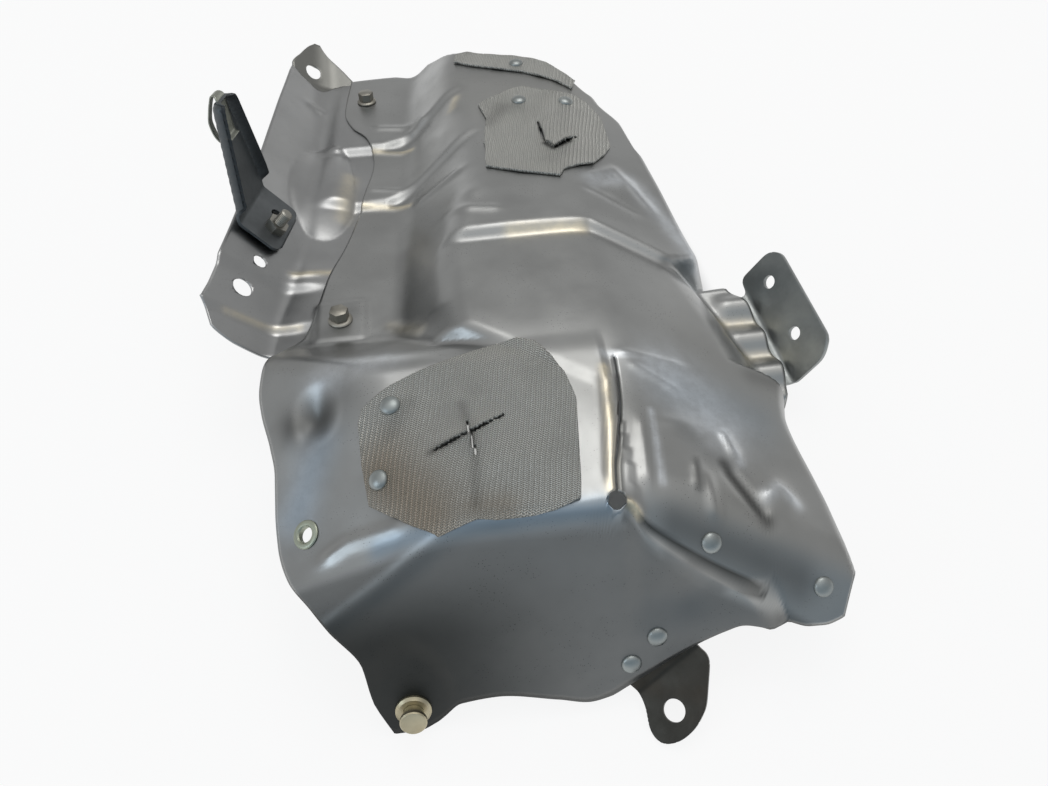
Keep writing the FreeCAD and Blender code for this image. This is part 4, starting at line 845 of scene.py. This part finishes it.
def coated_steel(name, base, roughness, speck):
    """Dull coated sheet: cloudy tone, fine dark specks and a faint rolled grain."""
    s = Shader(name)
    wide = s.noise(14.0, 4.0, 0.6)
    fine = s.noise(260.0, 3.0, 0.6)
    tone = s.blend(s.remap(wide, 0.3, 0.7), shade(base, 0.92), shade(base, 1.06))
    warm = s.noise(6.0, 2.0, 0.5)
    tone = s.blend(s.remap(warm, 0.5, 0.75, 0.0, 0.25), tone, (base[0] * 1.05, base[1], base[2] * 0.9))
    specks = s.remap(s.cells(900.0), 0.10, 0.2, 1.0, 0.0)
    where = s.remap(s.noise(60.0, 3.0, 0.7), 0.5, 0.62)
    specks = specks * where * speck
    tone = s.blend(specks, tone, (0.09, 0.085, 0.08))
    # Noise that breaks up the painted highlights and painted warm reflections
    edge = s.remap(s.noise(110.0, 4.0, 0.7), 0.3, 0.7, 0.55, 1.0)
    dark, painted_warm_reflection, blue, bright = s.mark("dark"), s.mark("painted_warm_reflection"), s.mark("blue"), s.mark("bright")
    # Painted highlights, pale and cool
    tone = s.blend(bright * edge, tone, (0.78, 0.82, 0.86))
    # Painted bluish reflections: a bluer, darker copy of the sheet's colour
    tone = s.blend(blue * 0.7, tone, (base[0] * 0.62, base[1] * 0.86, base[2] * 1.12))
    # Painted shade where a sheet is marked dark; on the front panel it is partly heat staining
    tone = s.blend(dark, tone, (0.035, 0.036, 0.034))
    # Painted warm reflections, straw coloured
    tone = s.blend(s.maths("MULTIPLY", painted_warm_reflection, edge, clamp=True), tone, (0.80, 0.72, 0.54))
    rough = s.remap(s.noise(30.0, 4.0, 0.65), 0.25, 0.75, roughness - 0.05, roughness + 0.08)
    rough = rough + specks * 0.2 + dark * 0.12
    grain = s.bump(fine, 0.12, 0.0002)
    return s.feed(Base_Color=tone, Metallic=1.0, Roughness=rough, Normal=grain)


def woven_wire(name, base, pitch, turn):
    """Wire cloth: bands of slanted loops that change direction from one band to the next."""
    s = Shader(name)
    turned = s.node("ShaderNodeMapping", {}, {"Vector": s.place, "Rotation": (0, 0, math.radians(turn))})
    wander = s.noise(35.0, 2.0, 0.5, turned)
    across, along, _ = s.split(turned)
    across = across + wander * pitch * 3.0
    along = along + wander * pitch * 4.0
    zig = s.maths("PINGPONG", across, pitch)
    loops = s.maths("SINE", (along + zig * 0.7) * (2.0 * math.pi / (pitch * 0.95)))
    bands = s.maths("SINE", across * (2.0 * math.pi / pitch))
    height = loops * 0.7 + bands * 0.35
    # Lighter on the loops, darker low between them: the weave's pattern with painted shade between the wires
    tone = s.blend(s.remap(height, -0.8, 0.7), shade(base, 0.45), shade(base, 1.1))
    tone = s.blend(s.remap(s.noise(40.0, 4.0, 0.6), 0.42, 0.75, 0.0, 0.45), tone, shade(base, 0.6))
    tone = s.blend(s.mark("brown") * 0.75, tone, (0.22, 0.17, 0.115))
    # Painted shade in the cloth's slits and fold
    tone = s.blend(s.mark("dark"), tone, (0.04, 0.04, 0.037))
    relief = s.bump(height, 0.7, 0.0003)
    return s.feed(Base_Color=tone, Metallic=0.8, Roughness=0.45, Normal=relief)


def plain_metal(name, base, roughness, stain=None, metallic=1.0):
    """Small metal parts and plates: mottled tone and light wear."""
    s = Shader(name)
    tone = s.blend(s.remap(s.noise(45.0, 4.0, 0.6), 0.3, 0.7), shade(base, 0.8), shade(base, 1.08))
    # Painted shade where a plate is marked dark, on the clip's turned-up lips
    tone = s.blend(s.mark("dark"), tone, (0.02, 0.023, 0.026))
    if stain is not None:
        tone = s.blend(s.remap(s.noise(22.0, 3.0, 0.6), 0.48, 0.7, 0.0, 0.7), tone, stain)
    rough = s.remap(s.noise(80.0, 3.0, 0.6), 0.3, 0.7, roughness - 0.05, roughness + 0.1)
    relief = s.bump(s.noise(500.0, 3.0, 0.6), 0.3, 0.00015)
    return s.feed(Base_Color=tone, Metallic=metallic, Roughness=rough, Normal=relief)


# Sizes and colours that a user would change

class ShieldSizes(bpy.types.PropertyGroup):
    gauge: bpy.props.FloatProperty(name="Sheet gauge", description="Thickness of the pressed sheets",
                                   default=GAUGE / 1000.0, min=0.0003, max=0.003, unit="LENGTH")
    wear: bpy.props.FloatProperty(name="Wear", description="Strength of small pressings, creases and dents",
                                  default=1.0, min=0.0, max=1.5, subtype="FACTOR")
    rows: bpy.props.IntProperty(name="Rows", description="Rows of faces along the main shield",
                                default=270, min=60, max=400)
    columns: bpy.props.IntProperty(name="Columns", description="Columns of faces across the main shield",
                                   default=160, min=40, max=260)
    mesh_pitch: bpy.props.FloatProperty(name="Weave pitch", unit="LENGTH", default=0.001, min=0.0008,
                                        max=0.004, description="Distance between wires of the mesh patches")
    rivet_radius: bpy.props.FloatProperty(name="Rivet radius", description="Radius of the rivet heads",
                                          default=0.0042, min=0.002, max=0.008, unit="LENGTH")
    rivet_rise: bpy.props.FloatProperty(name="Rivet rise", description="Height of the rivet heads",
                                        default=0.0021, min=0.0005, max=0.004, unit="LENGTH")


class ShieldColours(bpy.types.PropertyGroup):
    sheet: bpy.props.FloatVectorProperty(name="Main sheet", description="Colour of the main shield",
                                         subtype="COLOR", default=(0.37, 0.375, 0.37), min=0.0, max=1.0)
    side: bpy.props.FloatVectorProperty(name="Side sheet", description="Colour of the side shield",
                                        subtype="COLOR", default=(0.38, 0.385, 0.385), min=0.0, max=1.0)
    mesh: bpy.props.FloatVectorProperty(name="Wire mesh", description="Colour of the mesh patches",
                                        subtype="COLOR", default=(0.48, 0.48, 0.45), min=0.0, max=1.0)
    plate: bpy.props.FloatVectorProperty(name="Plate", description="Colour of the right bracket",
                                         subtype="COLOR", default=(0.30, 0.315, 0.31), min=0.0, max=1.0)
    dark: bpy.props.FloatVectorProperty(name="Dark plate", description="Colour of the foot bracket",
                                        subtype="COLOR", default=(0.06, 0.057, 0.05), min=0.0, max=1.0)


def sizes():
    return bpy.context.scene.shield_sizes


def material(name):
    """One shared material for each finish, made when first asked for."""
    if name in bpy.data.materials:
        return bpy.data.materials[name]
    c = bpy.context.scene.shield_colours
    finishes = {
        "main_sheet": (coated_steel, c.sheet, 0.36, 0.8),
        "side_sheet": (coated_steel, c.side, 0.34, 0.5),
        "tab_sheet": (coated_steel, (0.25, 0.25, 0.235), 0.42, 0.5),
        "wire_cloth": (woven_wire, c.mesh, sizes().mesh_pitch, 12.0),
        "bright_plate": (plain_metal, c.plate, 0.38),
        "dark_plate_metal": (plain_metal, c.dark, 0.45, (0.06, 0.05, 0.04)),
        "blue_black": (plain_metal, (0.12, 0.13, 0.135), 0.42, None, 0.7),
        "olive_spring": (plain_metal, (0.30, 0.31, 0.27), 0.42),
        "dull_zinc": (plain_metal, (0.40, 0.39, 0.35), 0.4, (0.22, 0.20, 0.16)),
        "rivet_metal": (plain_metal, (0.36, 0.385, 0.38), 0.42, (0.24, 0.29, 0.29)),
        "yellow_zinc": (plain_metal, (0.50, 0.45, 0.32), 0.38, (0.34, 0.27, 0.15)),
        "green_zinc_metal": (plain_metal, (0.44, 0.47, 0.38), 0.36),
    }
    make, base, *rest = finishes[name]
    return make(name, tuple(base), *rest)


# Pieces

class ShieldMain(bpy.types.Operator):
    """Make the main shield"""

    bl_idname = "shield.main_sheet"
    bl_label = "Main shield"

    def execute(self, context):
        s = sizes()
        edges = (MAIN_LEFT, MAIN_RIGHT, MAIN_FRONT, MAIN_FAR)
        x, y = plan_grid(edges, *MAIN_SPAN, (s.rows, s.columns), SLIT_GUIDE)
        y = follow_seam(x, y)
        before_slit = int(s.columns * SLIT_SHARE) - 1
        middle_y = (y[:-1, before_slit] + y[1:, before_slit]) / 2.0
        dropped = np.zeros((s.rows - 1, s.columns - 1), bool)
        dropped[:, before_slit] = (middle_y > SLIT_NEAR) & (middle_y < SLIT_FAR)
        holes = [hole_on(main_form, RELIEF_PLACE, RELIEF_RADIUS),
                 hole_on(main_form, EYELET_PLACE, EYELET_HOLE_RADIUS)]
        item = sheet_piece("main_sheet_piece", lifted(main_form, x, y), s.gauge * 1000.0, holes, dropped,
                           main_marks(x, y))
        finish_piece(item, "main_shield", "main_sheet")
        return {"FINISHED"}


class ShieldSide(bpy.types.Operator):
    """Make the side shield and the corner tab"""

    bl_idname = "shield.side_sheet"
    bl_label = "Side shield"

    def execute(self, context):
        s = sizes()
        form = lambda x, y: side_form(x, y, s.wear)
        edges = (SIDE_LEFT, SIDE_RIGHT, SIDE_FRONT, SIDE_FAR)
        x, y = plan_grid(edges, *SIDE_SPAN, SIDE_COUNTS)
        holes = [hole_on(form, WING_HOLE, WING_HOLE_RADIUS), hole_on(form, DRAIN_HOLE, DRAIN_HOLE_RADIUS)]
        # Painted warm reflections on the side shield's ribs and dome
        marks = {"painted_warm_reflection": marked(x, y, SIDE_PAINTED_WARM_REFLECTIONS)}
        item = sheet_piece("side_sheet_piece", lifted(form, x, y), s.gauge * 1000.0, holes, None, marks)
        finish_piece(item, "side_shield", "side_sheet")
        lift = -(GAUGE + LAP_GAP)
        x, y = plan_grid((TAB_LEFT, TAB_RIGHT, TAB_FRONT, TAB_FAR), *TAB_SPAN, TAB_COUNTS)
        centre, axis = surface_frame(tab_form, *TAB_HOLE)
        holes = [(centre + axis * lift, axis, TAB_HOLE_RADIUS)]
        item = sheet_piece("corner_tab_piece", lifted(tab_form, x, y, lift), TAB_GAUGE, holes)
        finish_piece(item, "corner_tab", "tab_sheet")
        return {"FINISHED"}


class ShieldPatches(bpy.types.Operator):
    """Make the three wire mesh patches"""

    bl_idname = "shield.mesh_patches"
    bl_label = "Mesh patches"

    def execute(self, context):
        for name, outline, slits in (("large_mesh_patch", LARGE_PATCH, LARGE_SLITS),
                                     ("middle_mesh_patch", MIDDLE_PATCH, MIDDLE_SLITS),
                                     ("top_mesh_patch", TOP_PATCH, [])):
            finish_piece(patch_piece(name + "_piece", outline, slits), name, "wire_cloth")
        return {"FINISHED"}


def inside_outline(x, y, outline):
    inside = np.zeros(np.shape(x), bool)
    for (ax, ay), (bx, by) in zip(outline, outline[1:] + outline[:1]):
        crosses = (ay > y) != (by > y)
        with np.errstate(divide="ignore", invalid="ignore"):
            at = ax + (y - ay) * (bx - ax) / (by - ay if by != ay else 1e-9)
        inside ^= crosses & (x < at)
    return inside


def cut_grid(outline, pitch):
    """Plan places cut to an outline, the edge points drawn onto it.

    Gives places, the cells kept, the distance in from the edge and the place along it."""
    xs = np.arange(min(p[0] for p in outline) - pitch, max(p[0] for p in outline) + pitch, pitch)
    ys = np.arange(min(p[1] for p in outline) - pitch, max(p[1] for p in outline) + pitch, pitch)
    x, y = np.meshgrid(xs, ys)
    inside = inside_outline(x, y, outline)
    ring = outline + outline[:1]
    far, place = along_path(x, y, ring)
    near = ~inside & (far < pitch * 1.1)
    corners = np.array(ring, float)
    lengths = np.concatenate([[0.0], np.cumsum(np.hypot(*np.diff(corners, axis=0).T))])
    at = place * lengths[-1]
    x = np.where(near, np.interp(at, lengths, corners[:, 0]), x)
    y = np.where(near, np.interp(at, lengths, corners[:, 1]), y)
    kept = inside | near
    cell_kept = kept[:-1, :-1] & kept[:-1, 1:] & kept[1:, 1:] & kept[1:, :-1]
    cell_kept &= (inside[:-1, :-1] | inside[:-1, 1:] | inside[1:, 1:] | inside[1:, :-1])
    return x, y, cell_kept, np.where(inside, far, 0.0), place


def rounded(outline, radius, steps=5):
    """An outline with its corners rounded as far as its sides allow."""
    result = []
    for before, corner, after in zip(outline[-1:] + outline[:-1], outline, outline[1:] + outline[:1]):
        corner = np.array(corner, float)
        ends = []
        for other in (before, after):
            side = np.array(other, float) - corner
            length = np.linalg.norm(side)
            ends.append(corner + side / length * min(radius, 0.45 * length))
        for k in np.linspace(0.0, 1.0, steps):
            point = (1.0 - k) ** 2 * ends[0] + 2.0 * k * (1.0 - k) * corner + k * k * ends[1]
            result.append(tuple(point.tolist()))
    return result


def slit_lift(x, y, slits):
    """How far the cloth stands up on the one side of its cuts."""
    lift = np.zeros(np.shape(x))
    for (start, end), side, rise in slits:
        run = np.array(end, float) - np.array(start, float)
        length = np.linalg.norm(run)
        along = ((x - start[0]) * run[0] + (y - start[1]) * run[1]) / length
        off = ((y - start[1]) * run[0] - (x - start[0]) * run[1]) / length * side
        reach = np.clip(1.0 - np.abs(along / length - 0.5) * 2.0, 0.0, 1.0)
        lift = np.maximum(lift, rise * np.sqrt(reach) * np.exp(-off / 4.0) * (off > 0.0))
    return lift


def patch_piece(name, outline, slits):
    """A cloth cut to an outline, with a worn edge and slits that stand open on one side."""
    x, y, cell_kept, edge, place = cut_grid(outline, CLOTH_PITCH)
    for ends, _, _ in slits:
        far = along_path(x, y, ends)[0]
        middle = (far[:-1, :-1] + far[1:, 1:]) / 2.0
        cell_kept &= middle > CLOTH_PITCH * 0.62
    curl = 0.5 * np.exp(-edge / 2.5) * (0.5 + 0.5 * np.sin(place * 61.0) * np.sin(place * 23.0 + 1.0))
    points = lifted(main_form, x, y, CLOTH_LIFT)
    points[..., 2] += curl + slit_lift(x, y, slits)
    marks = {"brown": marked(x, y, MESH_BROWN_MARKS), "dark": marked(x, y, MESH_PAINTED_SHADE)}
    return sheet_piece(name, points, CLOTH_GAUGE, (), ~cell_kept, marks)


class ShieldRivets(bpy.types.Operator):
    """Make every rivet head"""

    bl_idname = "shield.rivets"
    bl_label = "Rivets"

    def execute(self, context):
        s = sizes()
        up = Vector((0, 0, 1))
        groups = (("patch_rivets", PATCH_RIVETS, CLOTH_LIFT), ("flap_rivets", FLAP_RIVETS, 0.0),
                  ("foot_bracket_rivets", FOOT_RIVETS, 0.0))
        for name, places, lift in groups:
            frames = [surface_frame(main_form, *place) for place in places]
            mesh = bpy.data.meshes.new(name + "_places")
            mesh.from_pydata([row_place(at + axis * lift).tolist() for at, axis in frames], [], [])
            turns = [up.rotation_difference(Vector(axis)).to_euler() for at, axis in frames]
            layer = mesh.attributes.new("turn", "FLOAT_VECTOR", "POINT")
            layer.data.foreach_set("vector", [part for turn in turns for part in turn])
            item = link(mesh, name + "_source")
            grown = item.modifiers.new("rivets", "NODES")
            grown.node_group, inputs = rivet_tree(name + "_tree")
            grown[inputs["Radius"]] = s.rivet_radius
            grown[inputs["Rise"]] = s.rivet_rise
            grown[inputs["Finish"]] = material("rivet_metal")
            finish_piece(plain_copy(item, name + "_piece"), name, "rivet_metal")
        return {"FINISHED"}


def plain_copy(item, name):
    """The evaluated result of an object's modifiers as a plain mesh object."""
    bpy.context.view_layer.update()
    evaluated = item.evaluated_get(bpy.context.evaluated_depsgraph_get())
    mesh = bpy.data.meshes.new_from_object(evaluated)
    mesh.name = name
    bpy.data.objects.remove(item)
    return link(mesh, name)


def rivet_tree(title):
    """Domed heads on points, each turned by the point's stored turn."""
    tree = bpy.data.node_groups.new(title, "GeometryNodeTree")
    sockets = {}
    kinds = {"Geometry": "Geometry", "Radius": "Float", "Rise": "Float", "Finish": "Material"}
    for name, kind in kinds.items():
        made = tree.interface.new_socket(name, in_out="INPUT", socket_type="NodeSocket" + kind)
        sockets[name] = made.identifier
    tree.interface.new_socket("Geometry", in_out="OUTPUT", socket_type="NodeSocketGeometry")
    make, join = tree.nodes.new, tree.links.new
    start, end = make("NodeGroupInput"), make("NodeGroupOutput")
    ball = make("GeometryNodeMeshUVSphere")
    ball.inputs["Segments"].default_value = 40
    ball.inputs["Rings"].default_value = 24
    ball.inputs["Radius"].default_value = 1.0
    size = make("ShaderNodeCombineXYZ")
    join(start.outputs["Radius"], size.inputs[0])
    join(start.outputs["Radius"], size.inputs[1])
    join(start.outputs["Rise"], size.inputs[2])
    shaped = make("GeometryNodeTransform")
    join(ball.outputs["Mesh"], shaped.inputs["Geometry"])
    join(size.outputs[0], shaped.inputs["Scale"])
    smooth = make("GeometryNodeSetShadeSmooth")
    join(shaped.outputs[0], smooth.inputs["Geometry"])
    turn = make("GeometryNodeInputNamedAttribute")
    turn.data_type = "FLOAT_VECTOR"
    turn.inputs["Name"].default_value = "turn"
    spread = make("GeometryNodeInstanceOnPoints")
    join(start.outputs["Geometry"], spread.inputs["Points"])
    join(smooth.outputs[0], spread.inputs["Instance"])
    join(turn.outputs["Attribute"], spread.inputs["Rotation"])
    real = make("GeometryNodeRealizeInstances")
    join(spread.outputs[0], real.inputs[0])
    paint = make("GeometryNodeSetMaterial")
    join(real.outputs[0], paint.inputs["Geometry"])
    join(start.outputs["Finish"], paint.inputs["Material"])
    join(paint.outputs[0], end.inputs[0])
    return tree, sockets


def hexagon(radius, low, high, chamfer):
    """A hexagon bar with both ends turned down at the corners."""
    inner, slope = radius - chamfer, chamfer * 0.6
    return lathe([(0, low), (inner, low), (radius, low + slope), (radius, high - slope), (inner, high),
                  (0, high)], 6)


class ShieldFasteners(bpy.types.Operator):
    """Make the two flange bolts, the eyelet, the corner pin and its sleeve"""

    bl_idname = "shield.fasteners"
    bl_label = "Fasteners"

    def execute(self, context):
        bolts = (("lower_flange_bolt", LOWER_BOLT, 0.3), ("upper_flange_bolt", UPPER_BOLT, 0.1))
        for name, place, spin in bolts:
            at, axis = surface_frame(plain_main, *place)
            head = join_bmesh(lathe(BOLT_FLANGE, ROUND_SIDES), hexagon(*BOLT_HEXAGON))
            item = place_bmesh(head, name + "_piece", at + axis * BOLT_LIFT, axis, spin)
            finish_piece(item, name, "dull_zinc")
        turned = (
            ("edge_eyelet", main_form, EYELET_PLACE, EYELET_RING, True, "green_zinc", "green_zinc_metal"),
            ("corner_sleeve", plain_main, PIN_PLACE, SLEEVE_RING, True, "gold_zinc", "yellow_zinc"),
            ("corner_pin", plain_main, PIN_PLACE, PIN_SHAPE, False, "gold_zinc", "yellow_zinc"),
        )
        for name, form, place, profile, closed, slot, finish in turned:
            at, axis = surface_frame(form, *place)
            made = lathe(profile, ROUND_SIDES, closed)
            item = place_bmesh(made, name + "_piece", at + axis * RING_LIFT, axis)
            finish_piece(item, name, finish)
        return {"FINISHED"}


def plate_frame(base, out, up):
    """Base and axes of a plate: along its fold, away from it, and out of its face."""
    out, up = np.array(out, float), np.array(up, float)
    along, out, up = (way / np.linalg.norm(way) for way in (np.cross(out, up), out, up))
    return np.array(base, float), along, out, up


def leg_ways(out, up, angle):
    """The ways out and up of a plate's turned leg."""
    turn = math.radians(angle)
    return out * math.cos(turn) + up * math.sin(turn), up * math.cos(turn) - out * math.sin(turn)


def bent(v, angle, radius):
    """Distance away from the fold and height of a plate that turns up about its fold."""
    turn = math.radians(angle)
    tangent = radius * math.tan(turn / 2.0)
    k = np.clip((v + tangent) / (2.0 * tangent), 0.0, 1.0) * turn
    past = np.maximum(v - tangent, 0.0)
    away = np.minimum(v, -tangent) + radius * np.sin(k) + past * math.cos(turn)
    return away, radius * (1.0 - np.cos(k)) + past * math.sin(turn)


def bent_plate(name, place, outline, angle, gauge, holes, corner, lip=None):
    """A plate cut to an outline over its unfolded plan, bent, pierced and thickened.

    holes are (along, away, radius); lip is (height, width, start, end) of turned-up side edges."""
    base, along, out, up = place
    u, v, cell_kept, edge, _ = cut_grid(rounded(outline, corner), PLATE_PITCH)
    away, height = bent(v, angle, BEND_RADIUS)
    points = base + u[..., None] * along + away[..., None] * out + height[..., None] * up
    leg_out, leg_up = leg_ways(out, up, angle)
    marks = {}
    if lip:
        rim = (1.0 - ease((edge - 0.4) / lip[1])) * ease((v - lip[2]) / 5.0) * ease((lip[3] - v) / 1.5)
        points = points + (rim * lip[0])[..., None] * leg_up
        # The turned-up lips are darkened: painted shade on them
        marks["dark"] = rim * 0.75
    pierced = []
    for across, far, radius in holes:
        on_leg = far > 0.0
        centre = base + across * along + far * (leg_out if on_leg else out)
        pierced.append((centre, leg_up if on_leg else up, radius))
    item = sheet_piece(name, points, gauge, pierced, ~cell_kept, marks)
    soft = item.modifiers.new("edges", "BEVEL")
    soft.width = EDGE_WIDTH
    soft.segments = 2
    soft.limit_method = "ANGLE"
    soft.angle_limit = math.radians(EDGE_ANGLE)
    return item


def strip_piece(name, place, path, widths):
    """A spring strip that follows a path of (away, height) points, with its own width at each."""
    base, along, out, up = place
    steps = np.linspace(0.0, len(path) - 1.0, STRIP_COUNTS[0])
    numbers = np.arange(len(path))
    away = curve(list(zip(numbers, [p[0] for p in path])), steps)
    height = curve(list(zip(numbers, [p[1] for p in path])), steps)
    half = curve(list(zip(numbers, widths)), steps) / 2.0
    k = np.linspace(1.0, -1.0, STRIP_COUNTS[1])[None, :, None]
    middle = base + away[:, None, None] * out + height[:, None, None] * up
    points = middle + half[:, None, None] * k * along
    return sheet_piece(name, points, SPRING_GAUGE, side=0.0)


class ShieldBrackets(bpy.types.Operator):
    """Make the three brackets, the spring clip and the stud, and finish the nuts"""

    bl_idname = "shield.brackets"
    bl_label = "Brackets"

    def execute(self, context):
        plates = (
            ("right_bracket", "plate_steel", "bright_plate",
             (RIGHT_SEAT, RIGHT_PLATE, RIGHT_FOLD, PLATE_GAUGE, RIGHT_HOLES, RIGHT_CORNER)),
            ("foot_bracket", "dark_plate", "dark_plate_metal",
             (FOOT_SEAT, FOOT_PLATE, FOOT_FOLD, PLATE_GAUGE, FOOT_HOLES, FOOT_CORNER)),
            ("clip_bracket", "blue_black_plate", "blue_black",
             (CLIP_SEAT, CLIP_PLATE, CLIP_FOLD, CLIP_GAUGE, CLIP_HOLES, CLIP_CORNER, CLIP_LIP)),
        )
        for name, slot, finish, (seat, *shape) in plates:
            finish_piece(bent_plate(name + "_piece", plate_frame(*seat), *shape), name, finish)
        base, along, out, up = plate_frame(*CLIP_SEAT)
        leg_out, leg_up = leg_ways(out, up, CLIP_FOLD)
        leg = (base + leg_out * CLIP_LENGTH - 2.0 * along, along, leg_out, leg_up)
        item = strip_piece("spring_clip_piece", leg, SPRING_PATH, SPRING_WIDTHS)
        finish_piece(item, "spring_clip", "olive_spring")
        item = place_bmesh(lathe(STUD_SHAPE, STUD_SIDES), "bracket_stud_piece", STUD_PLACE, up)
        finish_piece(item, "bracket_stud", "dull_zinc")
        for node in ("bracket_nut", "lower_bolt_nut", "upper_bolt_nut"):
            dress(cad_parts[node], "dull_zinc")
        return {"FINISHED"}


class ShieldStage(bpy.types.Operator):
    """Make the floor, the lamps and the camera"""

    bl_idname = "shield.stage"
    bl_label = "Stage"

    def execute(self, context):
        scene = context.scene
        floor = lathe([(0, 0), (FLOOR_RADIUS, 0)], 64)
        mesh = bpy.data.meshes.new("floor")
        floor.to_mesh(mesh)
        floor.free()
        ground = link(mesh, "floor")
        mesh.materials.append(pale_floor())
        scene.world = studio_world()
        for name, place, width, power, tint in LAMPS:
            lamp = bpy.data.lights.new(name, "AREA")
            lamp.size = width
            lamp.energy = power
            lamp.color = tint
            item = bpy.data.objects.new(name, lamp)
            item.location = place
            item.rotation_euler = (Vector((0, 0, 0.03)) - Vector(place)).to_track_quat("-Z", "Y").to_euler()
            scene.collection.objects.link(item)
        camera = bpy.data.cameras.new("photo_camera")
        camera.sensor_width = SENSOR_WIDTH
        camera.lens = FOCAL_PIXELS / PHOTO_WIDTH * SENSOR_WIDTH
        camera.clip_start = 0.01
        item = bpy.data.objects.new("photo_camera", camera)
        item.location = row_place(CAMERA_PLACE).tolist()
        item.rotation_euler = (math.radians(CAMERA_TILT), 0.0, math.radians(CAMERA_YAW))
        scene.collection.objects.link(item)
        scene.camera = item
        scene.view_settings.view_transform = "Standard"
        return {"FINISHED"}


def pale_floor():
    """A white floor that keeps the object's shadow and stays dark under its sheets."""
    s = Shader("pale_floor")
    s.feed(Base_Color=(0.8, 0.8, 0.8, 1), Roughness=1.0)
    s.put(s.surface.inputs["Specular IOR Level"], 0.0)
    rays = s.tree.nodes.new("ShaderNodeLightPath")
    seen = s.maths("MAXIMUM", rays.outputs["Is Camera Ray"], rays.outputs["Is Glossy Ray"])
    seen = s.maths("MAXIMUM", seen, rays.outputs["Is Transmission Ray"])
    x, y, _ = s.split(s.place)
    wide = (x - UNDER_MIDDLE[0]) / UNDER_HALF[0]
    long = (y - UNDER_MIDDLE[1]) / UNDER_HALF[1]
    away = s.remap(wide * wide + long * long, 0.75, 1.0)
    glow = s.tree.nodes.new("ShaderNodeEmission")
    both = s.tree.nodes.new("ShaderNodeMixShader")
    s.put(both.inputs[0], seen * away * WHITE_SHARE)
    s.put(both.inputs[1], s.surface.outputs[0])
    s.put(both.inputs[2], glow.outputs[0])
    output = next(node for node in s.tree.nodes if node.type == "OUTPUT_MATERIAL")
    s.put(output.inputs["Surface"], both.outputs[0])
    return s.material


def studio_world():
    """A soft studio: bright overhead, calmer at middle heights, with a bluish near side."""
    world = bpy.data.worlds.new("studio")
    world.use_nodes = True
    tree = world.node_tree
    tree.nodes.clear()
    make, join = tree.nodes.new, tree.links.new
    output, light = make("ShaderNodeOutputWorld"), make("ShaderNodeBackground")
    way, parts = make("ShaderNodeTexCoord"), make("ShaderNodeSeparateXYZ")
    ramp = make("ShaderNodeValToRGB")
    elements = ramp.color_ramp.elements
    elements.remove(elements[1])
    elements[0].position = 0.0
    elements[0].color = (WORLD_FLOOR_LEVEL, WORLD_FLOOR_LEVEL, WORLD_FLOOR_LEVEL, 1)
    for place, level in WORLD_LEVELS:
        elements.new(place).color = (level, level, level, 1)
    near = make("ShaderNodeMapRange")
    near.inputs["From Min"].default_value = -0.25
    near.inputs["From Max"].default_value = -0.75
    tint = make("ShaderNodeMix")
    tint.data_type = "RGBA"
    tint.blend_type = "MULTIPLY"
    tint.inputs[7].default_value = NEAR_TINT
    join(way.outputs["Generated"], parts.inputs[0])
    join(parts.outputs[2], ramp.inputs[0])
    join(parts.outputs[1], near.inputs["Value"])
    join(near.outputs[0], tint.inputs[0])
    join(ramp.outputs[0], tint.inputs[6])
    join(tint.outputs[2], light.inputs["Color"])
    join(light.outputs[0], output.inputs[0])
    return world


class SHIELD_PT_panel(bpy.types.Panel):
    bl_label = "Heat shield"
    bl_space_type = "VIEW_3D"
    bl_region_type = "UI"
    bl_category = "Heat shield"

    def draw(self, context):
        for group in (context.scene.shield_sizes, context.scene.shield_colours):
            for name in group.bl_rna.properties.keys():
                if name not in ("rna_type", "name"):
                    self.layout.prop(group, name)
        for step in STEPS:
            self.layout.operator(step.bl_idname)


STEPS = (ShieldMain, ShieldSide, ShieldPatches, ShieldRivets, ShieldFasteners, ShieldBrackets, ShieldStage)
CLASSES = (ShieldSizes, ShieldColours, *STEPS, SHIELD_PT_panel)


def register():
    for kind in CLASSES:
        bpy.utils.register_class(kind)
    bpy.types.Scene.shield_sizes = bpy.props.PointerProperty(type=ShieldSizes)
    bpy.types.Scene.shield_colours = bpy.props.PointerProperty(type=ShieldColours)


def unregister():
    del bpy.types.Scene.shield_sizes
    del bpy.types.Scene.shield_colours
    for kind in reversed(CLASSES):
        bpy.utils.unregister_class(kind)


def main():
    register()
    bpy.ops.shield.main_sheet()
    bpy.ops.shield.side_sheet()
    bpy.ops.shield.mesh_patches()
    bpy.ops.shield.rivets()
    bpy.ops.shield.fasteners()
    bpy.ops.shield.brackets()
    bpy.ops.shield.stage()


if __name__ == "__main__":
    main()
